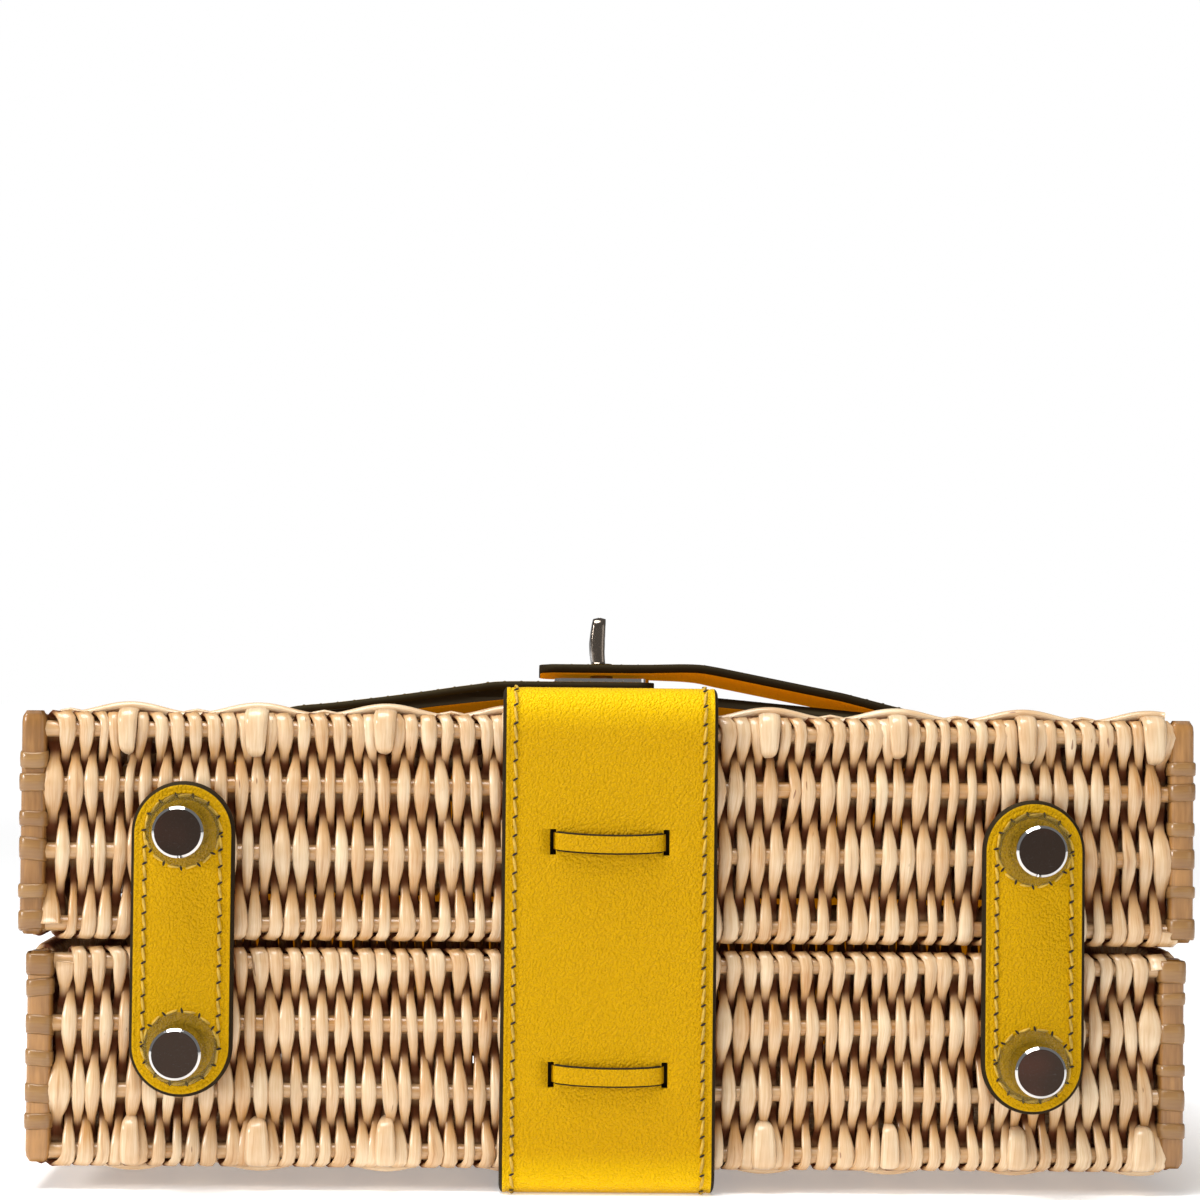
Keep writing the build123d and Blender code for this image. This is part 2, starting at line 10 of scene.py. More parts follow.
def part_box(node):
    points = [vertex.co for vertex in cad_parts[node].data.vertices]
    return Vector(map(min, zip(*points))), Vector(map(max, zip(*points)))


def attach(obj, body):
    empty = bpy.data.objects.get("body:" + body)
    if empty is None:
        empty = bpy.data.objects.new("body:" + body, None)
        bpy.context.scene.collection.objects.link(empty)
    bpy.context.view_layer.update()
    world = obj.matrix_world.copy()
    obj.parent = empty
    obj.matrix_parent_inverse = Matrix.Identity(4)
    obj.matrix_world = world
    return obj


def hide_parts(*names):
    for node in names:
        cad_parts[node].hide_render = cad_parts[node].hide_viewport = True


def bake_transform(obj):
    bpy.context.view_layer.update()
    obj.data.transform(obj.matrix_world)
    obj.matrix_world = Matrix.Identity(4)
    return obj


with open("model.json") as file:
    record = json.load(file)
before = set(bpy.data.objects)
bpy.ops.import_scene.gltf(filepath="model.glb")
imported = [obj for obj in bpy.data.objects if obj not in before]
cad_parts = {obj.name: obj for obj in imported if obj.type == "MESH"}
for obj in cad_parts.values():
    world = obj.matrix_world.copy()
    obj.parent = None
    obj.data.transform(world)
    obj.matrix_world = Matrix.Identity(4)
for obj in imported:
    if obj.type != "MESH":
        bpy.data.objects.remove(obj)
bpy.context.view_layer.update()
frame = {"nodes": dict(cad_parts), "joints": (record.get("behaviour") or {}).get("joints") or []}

bl_info = {
    "name": "Basket box bag",
    "version": (1, 0, 0),
    "blender": (4, 5, 0),
    "location": "View3D > Sidebar > Basket bag",
    "description": "Weaves a two-part basket bag and dresses it in leather round its frame",
    "category": "Add Mesh",
}

MM = 0.001


def node_box(node):
    """Lowest and highest corner of a frame node, in millimetres."""
    low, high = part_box(node)
    return np.array(low) / MM, np.array(high) / MM


# ---------------------------------------------------------------- places read from the frame, mm
BACK_LOW, BACK_HIGH = node_box("back_tray")
FRONT_LOW, FRONT_HIGH = node_box("front_tray")
BAND_LOW, BAND_HIGH = node_box("center_band")
FLAP_LOW, FLAP_HIGH = node_box("flap")
BOTTOM_Y, TOP_Y = BACK_LOW[1], BACK_HIGH[1]
BACK_RIM, FRONT_RIM = BACK_HIGH[2], FRONT_LOW[2]
SEAM = (BACK_RIM + FRONT_RIM) / 2
BAND_Y = BAND_LOW[1]
JOINTS = {joint["name"]: joint for joint in frame["joints"]}
LOCK_FOOT = np.array(JOINTS["turn_lock"]["pos_m"]) / MM
SLOPE = math.asin(JOINTS["turn_lock"]["axis"][1])  # of the front face, towards the top end
FACE_UP = np.array([0, math.cos(SLOPE), -math.sin(SLOPE)])
FACE_OUT = np.array([0, math.sin(SLOPE), math.cos(SLOPE)])
FACE_ORIGIN = np.array([0, BOTTOM_Y, LOCK_FOOT[2] + (LOCK_FOOT[1] - BOTTOM_Y) * math.tan(SLOPE)])
X, Y, Z = np.eye(3)
WOVEN, ROD, HIDE, PLATED = "woven_wicker", "willow_rod", "yellow_leather", "plated_metal"  # slots
FINISHES = {}
HANDS = (("left", -1), ("right", 1))


def front_height(y, above=0.0):
    """Height at y of a plane that lies the given distance above the front face."""
    return FACE_ORIGIN[2] - (np.asarray(y, float) - BOTTOM_Y) * math.tan(SLOPE) + above / math.cos(SLOPE)


# ---------------------------------------------------------------- meshes from grids of points
def grid_mesh(name, points, along=None, values=None, caps=True):
    """A mesh of one or more grids, each a tube of rings. points has the shape (strands, rows,
    columns, 3), in mm; each row closes on itself, and caps closes the tube's two ends. The surface
    coordinates are the share of the way round and along, which is given for every row."""
    points = np.asarray(points, float)
    if points.ndim == 3:
        points = points[None]
    strands, rows, columns, _ = points.shape
    s, i, j = np.meshgrid(np.arange(strands), np.arange(rows - 1), np.arange(columns), indexing="ij")
    step_i, step_j = i[..., None] + [0, 0, 1, 1], j[..., None] + [0, 1, 1, 0]
    quads = (s[..., None] * rows + step_i) * columns + step_j % columns
    loops = quads.reshape(-1)
    sizes = np.full(quads.size // 4, 4)
    along = np.broadcast_to(np.arange(rows, dtype=float) if along is None else along, (strands, rows))
    uv = np.stack([step_j / columns, along[s[..., None], step_i]], -1).reshape(-1, 2)
    if caps:
        ring = np.arange(columns)
        base = np.arange(strands)[:, None] * rows * columns
        first = base + ring
        last = base + (rows - 1) * columns + ring[::-1]
        ends = np.stack([first, last], 1).reshape(-1)
        loops = np.concatenate([loops, ends])
        sizes = np.concatenate([sizes, np.full(2 * strands, columns)])
        cap_uv = np.stack([np.zeros(ends.size), np.repeat(along[:, [0, -1]].reshape(-1), columns)], -1)
        uv = np.concatenate([uv, cap_uv])
    mesh = bpy.data.meshes.new(name)
    mesh.vertices.add(points.size // 3)
    mesh.vertices.foreach_set("co", (points * MM).astype(np.float32).ravel())
    mesh.loops.add(loops.size)
    mesh.loops.foreach_set("vertex_index", loops.astype(np.int32))
    mesh.polygons.add(sizes.size)
    mesh.polygons.foreach_set("loop_start", np.concatenate([[0], np.cumsum(sizes)[:-1]]).astype(np.int32))
    mesh.polygons.foreach_set("use_smooth", np.ones(sizes.size, bool))
    layer = mesh.uv_layers.new(name="surface")
    layer.data.foreach_set("uv", uv.astype(np.float32).ravel())
    for key, value in (values or {}).items():
        spread = np.broadcast_to(value, (strands, rows, columns)).astype(np.float32)
        mesh.attributes.new(key, "FLOAT", "POINT").data.foreach_set("value", spread.ravel())
    mesh.update(calc_edges=True)
    mesh.validate()
    return mesh


def show(mesh, material, body=None, replaces=None):
    """Puts a mesh into the scene as a piece of the same name that rides on a body."""
    piece = bpy.data.objects.new(mesh.name, mesh)
    bpy.context.scene.collection.objects.link(piece)
    mesh.materials.append(FINISHES.get(material, material))
    if body:
        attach(piece, body)
    if replaces:
        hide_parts(replaces)
    return piece


def show_willow(name, points, along, tone, depth, body, material="weft", slot=WOVEN, replaces=None):
    """A willow piece from its grids, with the tone of each strand and how far out in the weave its
    points lie: 1 on top, 0 in the middle and -1 on the inside. The willow finish paints shade from
    this depth, and rods, posts, wraps, pegs and border wefts are given a fixed one that sets how much."""
    values = {"tone": tone, "depth": np.full((1, 1, 1), depth) if np.isscalar(depth) else depth}
    return show(grid_mesh(name, points, along, values), material, body, replaces)


def running_mean(values):
    """Each value as the mean of the five round it."""
    return np.convolve(np.pad(values, 2, "edge"), np.ones(5) / 5, "valid")


def unit(vectors):
    """Vectors of length one."""
    return vectors / np.maximum(np.linalg.norm(vectors, axis=-1, keepdims=True), 1e-9)


def rounded(turn, square):
    """Cosine and sine of each angle, their sizes raised to a power: a section between a circle (1)
    and a square (towards 0)."""
    return (np.sign(wave) * np.abs(wave) ** square for wave in (np.cos(turn), np.sin(turn)))


def tube(paths, side, half_width, half_depth, columns=8, square=1.0):
    """Sections carried along paths of shape (strands, rows, 3): a superellipse whose wide axis is
    as near to side as the path allows. At angle t a section's point lies half_width·cos(t)^square
    along the wide axis and half_depth·sin(t)^square along the other."""
    heading = unit(np.gradient(paths, axis=1))
    depth_axis = unit(np.cross(heading, np.broadcast_to(side, paths.shape)))
    wide_axis = np.cross(depth_axis, heading)
    wide, deep = rounded(np.arange(columns) * 2 * np.pi / columns, square)
    a = np.broadcast_to(half_width, paths.shape[:2])[..., None, None]
    b = np.broadcast_to(half_depth, paths.shape[:2])[..., None, None]
    return (
        paths[:, :, None]
        + a * wide[:, None] * wide_axis[:, :, None]
        + b * deep[:, None] * depth_axis[:, :, None]
    )


def lengths(paths):
    """Distance run along each path, in metres, at every row."""
    step = np.linalg.norm(np.diff(paths, axis=-2), axis=-1)
    return np.concatenate([np.zeros(step.shape[:-1] + (1,)), np.cumsum(step, -1)], -1) * MM


def rounded_line(corners, radii, step=0.4):
    """A line through corners whose inner ones are replaced by arcs of the given radii, as points
    about step apart."""
    corners = np.asarray(corners, float)
    pieces = [corners[:1]]
    for before, at, after, radius in zip(corners, corners[1:], corners[2:], radii):
        a, b = unit(before - at), unit(after - at)
        half_turn = np.arccos(np.clip(a @ b, -1, 1)) / 2
        reach = radius / math.tan(half_turn)
        centre = at + unit(a + b) * radius / math.sin(half_turn)
        start, end = at + a * reach - centre, at + b * reach - centre
        sweep = np.pi - 2 * half_turn
        share = np.linspace(0, 1, max(3, int(radius * sweep / step) + 2))[:, None]
        arc = (np.sin((1 - share) * sweep) * start + np.sin(share * sweep) * end) / math.sin(sweep)
        pieces.append(centre + arc)
    pieces.append(corners[-1:])
    return np.concatenate(pieces)


def run_along(line):
    """Distance from a line's start at each of its points, in mm."""
    return np.concatenate([[0], np.cumsum(np.linalg.norm(np.diff(line, axis=0), axis=1))])


def at_distance(line, distances):
    """Points on a line at the given distances from its start."""
    run = run_along(line)
    return np.stack([np.interp(distances, run, line[:, k]) for k in range(line.shape[1])], -1)


def length_of(line):
    """Length of a line, in mm."""
    return float(run_along(line)[-1])


def in_middle_plane(profile):
    """A profile of (y, z) points as points in the bag's middle plane."""
    return np.stack([0 * profile[:, 0], profile[:, 0], profile[:, 1]], -1)


# ---------------------------------------------------------------- shader maths
class Number:
    """A socket that holds a number and takes part in Python arithmetic: each operator adds a Math
    node to the finish that it belongs to."""

    def __init__(self, finish, socket):
        self.finish, self.socket = finish, socket

    def _math(self, operation, *terms):
        made = self.finish.node("ShaderNodeMath", {"operation": operation}, dict(enumerate(terms)))
        return Number(self.finish, made.outputs[0])

    def __add__(self, other):
        return self._math("ADD", self, other)

    __radd__ = __add__

    def __mul__(self, other):
        return self._math("MULTIPLY", self, other)

    __rmul__ = __mul__

    def __sub__(self, other):
        return self._math("SUBTRACT", self, other)

    def __rsub__(self, other):
        return self._math("SUBTRACT", other, self)

    def between(self, low, high):
        """0 where this number is low, 1 where it is high, smoothly in between and held outside."""
        made = self.finish.node(
            "ShaderNodeMapRange", {"interpolation_type": "SMOOTHSTEP"}, {"Value": self, 1: low, 2: high}
        )
        return Number(self.finish, made.outputs["Result"])


class Nodes:
    """An emptied node tree and the means to build its nodes."""

    def __init__(self, owner):
        owner.use_nodes = True
        self.tree = owner.node_tree
        self.tree.nodes.clear()

    def node(self, kind, settings=None, sockets=None):
        """Adds a node: its settings first, then the values or links of its sockets."""
        made = self.tree.nodes.new(kind)
        for key, value in (settings or {}).items():
            setattr(made, key, value)
        self.feed(made, sockets or {})
        return made

    def feed(self, node, sockets):
        for key, value in sockets.items():
            socket = node.inputs[key]
            if isinstance(value, Number):
                value = value.socket
            if isinstance(value, bpy.types.NodeSocket):
                self.tree.links.new(value, socket)
            elif socket.type == "RGBA" and len(value) == 3:
                socket.default_value = (*value, 1.0)
            else:
                socket.default_value = value


class Finish(Nodes):
    """A material, its shader and the patterns that its maps are made from."""

    def __init__(self, name):
        self.material = bpy.data.materials.new(name)
        super().__init__(self.material)
        self.shader = self.node("ShaderNodeBsdfPrincipled")
        self.node("ShaderNodeOutputMaterial", None, {"Surface": self.shader.outputs[0]})

    def set(self, **sockets):
        """Feeds the shader's sockets; an underscore in a name stands for a space."""
        self.feed(self.shader, {key.replace("_", " "): value for key, value in sockets.items()})
        return self.material

    def attribute(self, name):
        made = self.node("ShaderNodeAttribute", {"attribute_name": name})
        return Number(self, made.outputs["Fac"])

    def place(self, scale=(1, 1, 1), own=False):
        """Object coordinates, or the piece's own surface coordinates, times scale."""
        if own:
            source = self.node("ShaderNodeUVMap", {"uv_map": "surface"}).outputs[0]
        else:
            source = self.node("ShaderNodeTexCoord").outputs["Object"]
        made = self.node("ShaderNodeVectorMath", {"operation": "MULTIPLY"}, {0: source, 1: scale})
        return made.outputs[0]

    def noise(self, where, scale=1.0, detail=2.0, roughness=0.5, distortion=0.0):
        values = {"Scale": scale, "Detail": detail, "Roughness": roughness, "Distortion": distortion}
        return Number(self, self.node("ShaderNodeTexNoise", None, {"Vector": where, **values}).outputs[0])

    def cells(self, where, scale):
        made = self.node("ShaderNodeTexVoronoi", None, {"Vector": where, "Scale": scale})
        return Number(self, made.outputs["Distance"])

    def mix(self, share, first, second):
        made = self.node("ShaderNodeMix", {"data_type": "RGBA"}, {0: share, 6: first, 7: second})
        return made.outputs[2]

    def shades(self, share, colour, darkest):
        """A colour that goes down to a share of itself."""
        return self.mix(share, colour, tuple(darkest * c for c in colour))

    def bump(self, height, distance, strength=1.0):
        values = {"Height": height, "Distance": distance, "Strength": strength}
        return self.node("ShaderNodeBump", None, values).outputs[0]


def straight(colour):
    """A linear colour from one given as 0 to 255 screen values."""
    share = np.asarray(colour, float) / 255
    return tuple(np.where(share <= 0.04045, share / 12.92, ((share + 0.055) / 1.055) ** 2.4))


# ---------------------------------------------------------------- settings
def colour_property(name, description, colour):
    """A colour that is given as 0 to 255 screen values."""
    return FloatVectorProperty(
        name=name, description=description, default=straight(colour), subtype="COLOR", size=3, min=0, max=1
    )


def size_property(name, description, default):
    """A length that is given in millimetres."""
    return FloatProperty(name=name, description=description, default=default, min=0.0)


class WickerSettings(bpy.types.PropertyGroup):
    """The weave of both trays."""

    stakes: IntProperty(name="Stakes", description="Stakes across a big face", default=18, min=4)
    wefts_per_stake: IntProperty(
        name="Wefts per stake", description="Wall wefts between two stakes", default=7, min=1
    )
    rod_radius: size_property("Rod radius", "Radius of the rods that the wefts go round, mm", 1.4)
    weft_depth: size_property("Weft depth", "Half thickness of a weft, mm", 0.42)
    weft_pinch: size_property("Weft pinch", "Half width of a weft between two rods, mm", 0.5)
    weft_narrow: size_property("Narrow weft", "Half width of the narrowest weft over a rod, mm", 1.0)
    weft_broad: size_property("Broad weft", "Half width of the broadest weft over a rod, mm", 1.5)
    wander: size_property("Wander", "How far a weft strays sideways, mm", 0.30)
    seed: IntProperty(name="Seed", description="Start of the weave's random draws", default=7)
    light: colour_property("Light willow", "Palest stretches of the weave", (232, 207, 170))
    tan: colour_property("Tan willow", "Warmest stretches of the weave", (190, 138, 80))
    knot: colour_property("Knot", "Knots and stains", (120, 66, 30))
    # shaded and gap are painted shade: the willow finish darkens strands to them where they dip into the
    # weave
    shaded: colour_property("Shaded willow", "Strands where they dip between others", (186, 134, 66))
    gap: colour_property("Gap", "Strands deep in the weave", (88, 37, 1))
    # post and wrap are the posts' own golden tan, darkened with painted shade where the posts face away from
    # the light
    post: colour_property("Post", "Golden corner posts", (120, 78, 34))
    wrap: colour_property("Post wrapping", "Strips wrapped round the corner posts", (158, 120, 72))


class LeatherSettings(bpy.types.PropertyGroup):
    """Leather, its painted edges and its thread."""

    face: colour_property("Leather", "Grained face of the leather", (200, 152, 0))
    # the underside's own orange, made brighter as painted bounce light
    under: colour_property("Underside", "Underside of the leather", (246, 164, 8))
    crease: colour_property("Crease", "Bottom of the grain", (160, 100, 0))
    # the colour on a bend: partly stretched leather, partly a painted highlight
    bent_and_highlit: colour_property("Bent leather", "Face of the leather on a bend", (255, 208, 0))
    edge: colour_property("Edge paint", "Painted edges", (27, 19, 17))
    thread: colour_property("Thread", "Saddle stitching", (208, 168, 56))
    # the stitch holes' colour is painted shade
    hole: colour_property("Stitch hole", "Awl holes of the stitching", (44, 28, 8))
    stitch_pitch: size_property("Stitch pitch", "Distance from stitch to stitch, mm", 3.15)
    stitch_inset: size_property("Stitch inset", "Distance from the edge to the stitching, mm", 2.2)
    edge_width: size_property("Edge width", "How much of a painted edge shows from the front, mm", 0.75)


class MetalSettings(bpy.types.PropertyGroup):
    """Metal fittings and the clear washers."""

    polish: colour_property("Polished metal", "Feet, turn lock and handle fittings", (206, 204, 202))
    # the colour of a painted dark reflection on the feet's end faces
    end_reflection: colour_property("Painted end reflection", "End faces of the feet", (54, 44, 38))
    blade: colour_property("Blade", "Blade of the turn lock", (140, 128, 116))
    steel: colour_property("Steel", "Nuts, rivets and the magnetic catch", (168, 168, 170))
    washer: colour_property("Washer", "Clear washers under the feet", (128, 104, 22))


class StageSettings(bpy.types.PropertyGroup):
    """Camera, lights and floor."""

    lens: FloatProperty(name="Lens", description="Focal length, mm", default=97.0, min=10.0)
    camera: FloatVectorProperty(
        name="Camera", description="Where the camera stands", subtype="XYZ", unit="LENGTH",
        size=3, default=(-0.014, -0.610, 0.087),
    )
    yaw: FloatProperty(name="Yaw", description="Turn to the right, degrees", default=1.25)
    pitch: FloatProperty(name="Pitch", description="Turn upwards, degrees", default=1.42)
    roll: FloatProperty(name="Roll", description="Turn about the view, degrees", default=0.55)
    floor: colour_property("Floor", "Floor", (250, 250, 250))
    ambient: FloatProperty(name="Ambient", description="Light from all round", default=0.24, min=0.0)


# ---------------------------------------------------------------- materials
def willow(name, wicker, light, tan, warmth=0.0):
    """Peeled willow: fibres run along the strand and its tone changes from strand to strand. Where a
    strand dips into the weave it is darkened with painted shade, to the shaded colour and then to the
    gap colour deep in the weave, and it is duller there; the inner face of the weave gets less of it."""
    finish = Finish(name)
    tone, depth = finish.attribute("tone"), finish.attribute("depth")
    fibre = finish.noise(finish.place((9, 60, 1), own=True), 1.0, 3.0, 0.6)
    fine = finish.noise(finish.place((34, 150, 1), own=True), 1.0, 2.0, 0.6)
    patch = finish.noise(finish.place(), 150.0, 2.0)
    stain = finish.noise(finish.place((6, 190, 1), own=True), 1.0, 1.0, 0.7)
    share = tone * 0.5 + (fibre - 0.5) * 1.1 + (fine - 0.5) * 0.9 + (patch - 0.5) * 1.0 + (0.20 + warmth)
    base = finish.mix(share, light, tan)
    base = finish.mix(fibre.between(0.60, 0.74) * 0.30, base, wicker.knot)
    base = finish.mix(stain.between(0.735, 0.775) * 0.75, base, wicker.knot)
    # painted shade: darker towards the shaded and gap colours as a strand dips into the weave, less on the
    # inner face
    inside = depth.between(-0.55, -0.95) * 0.7
    deep = depth.between(0.34, -0.28) - inside
    base = finish.mix((depth.between(0.84, 0.16) - inside) * 0.66, base, wicker.shaded)
    base = finish.mix(deep * 0.97, base, wicker.gap)
    rough = 0.30 + fine * 0.22 + deep * 0.4
    height = fibre * 0.6 + fine * 0.4
    return finish.set(
        Base_Color=base, Roughness=rough, Normal=finish.bump(height, 0.00014),
        Specular_IOR_Level=0.3, Coat_Weight=(1 - deep) * 0.75, Coat_Roughness=0.2,
    )


def leather(name, hide):
    """Fine grained leather: pebbles under half a millimetre across, drawn out on a slant, with
    paint where the edge attribute says so and a smoother, warmer underside. The underside's colour is
    brighter than its own and glows faintly: painted bounce light. On a bend the face is painted
    paler: partly stretched leather, partly a painted highlight."""
    finish = Finish(name)
    painted, below = finish.attribute("edge"), finish.attribute("under")
    slant = finish.node(
        "ShaderNodeMapping", {"vector_type": "TEXTURE"},
        {"Vector": finish.place(), "Rotation": (0.0, 0.5, 0.0), "Scale": (1 / 4000, 1 / 4000, 1 / 3000)},
    ).outputs[0]
    grain = finish.noise(slant, 1.0, 2.0, 0.55, 0.35)
    pebble = finish.cells(slant, 0.62)
    broad = finish.noise(finish.place(), 190.0, 3.0, 0.6)
    tone = finish.noise(finish.place(), 30.0, 3.0)
    valley = (grain * 0.42 + pebble * 0.62).between(0.34, 0.86)
    base = finish.mix(valley * 0.13 + (tone - 0.5) * 0.3, hide.face, hide.crease)
    # painted highlight on bends, together with the paler colour of stretched leather
    base = finish.mix(finish.attribute("stretch_and_highlight") * 0.68, base, hide.bent_and_highlit)
    # the underside's colour: its own orange and painted bounce light
    base = finish.mix(below, base, hide.under)
    paint = painted.between(0.35, 0.65)
    base = finish.mix(paint, base, hide.edge)
    height = (1 - valley) * (1 - paint) * 0.9 + broad * 0.22
    rough = 0.44 + (grain - 0.5) * 0.2 + below * 0.25 + paint * 0.24
    # painted bounce light: a faint glow on every underside of the leather
    glow = finish.mix(below * (1 - paint), (0, 0, 0), tuple(0.16 * c for c in hide.under))
    return finish.set(
        Emission_Color=glow, Emission_Strength=1.0,
        Base_Color=base, Roughness=rough, Normal=finish.bump(height, 0.00022, 1.0),
        Specular_IOR_Level=0.26, Specular_Tint=(1.0, 0.78, 0.22),
    )


def thread(name, colour):
    """Waxed thread with a faint twist."""
    finish = Finish(name)
    twist = finish.noise(finish.place((3, 900, 1), own=True), 2.0, 1.0)
    shade = finish.noise(finish.place(), 900.0, 2.0)
    base = finish.shades(shade.between(0.3, 0.75), colour, 0.62)
    return finish.set(Base_Color=base, Roughness=0.6, Normal=finish.bump(twist, 0.00008))


def painted_hole_shade(name, colour):
    """Painted shade of a stitch hole: a dark mark that stands for the shade at the bottom of the hole."""
    finish = Finish(name)
    shade = finish.noise(finish.place(), 1200.0, 1.0)
    base = finish.shades(shade, colour, 0.5)
    return finish.set(Base_Color=base, Roughness=0.8)


def metal(name, colour, roughness, scratches, painted_end_reflection=None):
    """Metal with fine straight scratches in several directions and faint smears. smoked is a colour and
    the height along Y, in mm, below which it is painted on: a painted dark reflection on the feet's
    end faces, with warmer patches in it."""
    finish = Finish(name)
    smear = finish.noise(finish.place(), 300.0, 3.0)
    lines = finish.noise(finish.place((5200, 260, 3600)), 1.0, 2.0, 0.7)
    lines_two = finish.noise(finish.place((900, 900, 5200)), 1.0, 2.0, 0.7)
    scratch = lines.between(0.62, 0.72) + lines_two.between(0.64, 0.74)
    base = finish.shades(smear * 0.25, colour, 0.72)
    # painted reflection: the end faces take a dark colour, warmer in patches, that stands for the dark room
    # they reflect
    if painted_end_reflection:
        dark, level = painted_end_reflection
        where = finish.node("ShaderNodeSeparateXYZ", None, {"Vector": finish.place((1000, 1000, 1000))})
        end = Number(finish, where.outputs["Y"]).between(level, level - 0.03)
        warm = finish.noise(finish.place(), 90.0, 1.0).between(0.42, 0.72)
        redder = tuple(np.multiply(dark, (2.2, 1.3, 1.2)))
        end_colour = finish.mix(scratch * 0.05, finish.mix(warm * 0.6, dark, redder), colour)
        base = finish.mix(end, base, end_colour)
    rough = roughness + scratch * scratches + (smear - 0.5) * 0.06
    return finish.set(
        Base_Color=base, Metallic=1.0, Roughness=rough,
        Normal=finish.bump(scratch, 0.000006, 0.5),
    )


def clear_plastic(name, colour):
    """A see-through disc, tinted, with a satin face."""
    finish = Finish(name)
    cloud = finish.noise(finish.place(), 420.0, 3.0)
    base = finish.shades(cloud, colour, 0.7)
    return finish.set(
        Base_Color=base, Roughness=0.16 + cloud * 0.12, Alpha=0.34 + cloud * 0.1,
        Specular_IOR_Level=0.5,
    )


def make_finishes(scene):
    """All the materials, by name."""
    wicker, hide, fitting = scene.bag_wicker, scene.bag_leather, scene.bag_metal
    foot_end = float(node_box("foot_left_front")[0][1])
    FINISHES.update(
        weft=willow("willow weft", wicker, wicker.light, wicker.tan),
        rod=willow("willow rod", wicker, wicker.light, wicker.tan, 0.12),
        # the post and wrap colours carry painted shade as well as their own tan
        post=willow("golden post", wicker, wicker.post, wicker.tan, -0.1),
        wrap=willow("post wrapping", wicker, wicker.wrap, wicker.post, 0.1),
        leather=leather("yellow leather", hide),
        thread=thread("saddle thread", hide.thread),
        hole=painted_hole_shade("stitch hole", hide.hole),
        polish=metal("polished metal", fitting.polish, 0.08, 0.16),
        # the foot's end faces carry a painted dark reflection
        foot=metal("foot metal", fitting.polish, 0.08, 0.14, (fitting.end_reflection, foot_end + 0.06)),
        blade=metal("blade steel", fitting.blade, 0.16, 0.12),
        steel=metal("plain steel", fitting.steel, 0.32, 0.2),
        washer=clear_plastic("clear washer", fitting.washer),
    )


# ---------------------------------------------------------------- weave
class Wall:
    """A flat stretch of weave: its origin, the direction that its rods run in, the direction that
    its wefts run in and its outward normal. Depth 0 is the middle of the weave."""

    def __init__(self, origin, across, up, out):
        self.origin, self.axes = np.asarray(origin, float), np.array([across, up, out], float)
        self.across = self.axes[0]

    def __call__(self, u, v, n):
        return self.origin + np.stack(np.broadcast_arrays(u, v, n), -1) @ self.axes


def bent_wave(angle, sharpness=0.9):
    """A wave between a cosine and a triangle: arcsin(sharpness·cos) brought back to 1."""
    return np.arcsin(sharpness * np.cos(angle)) / math.asin(sharpness)


BORDER_SHARE = 1.5  # how much broader the first and the last weft are
KINK = 0.26  # how far a weft steps aside at every rod, in turn to the left and to the right
LEAN, LEAN_WAVE, LEAN_STRAY = 0.32, 19.0, 0.10  # mm a rod, mm along the wall for one radian
SWELL = 0.72  # power of the cosine by which a weft swells over a rod: less is fuller


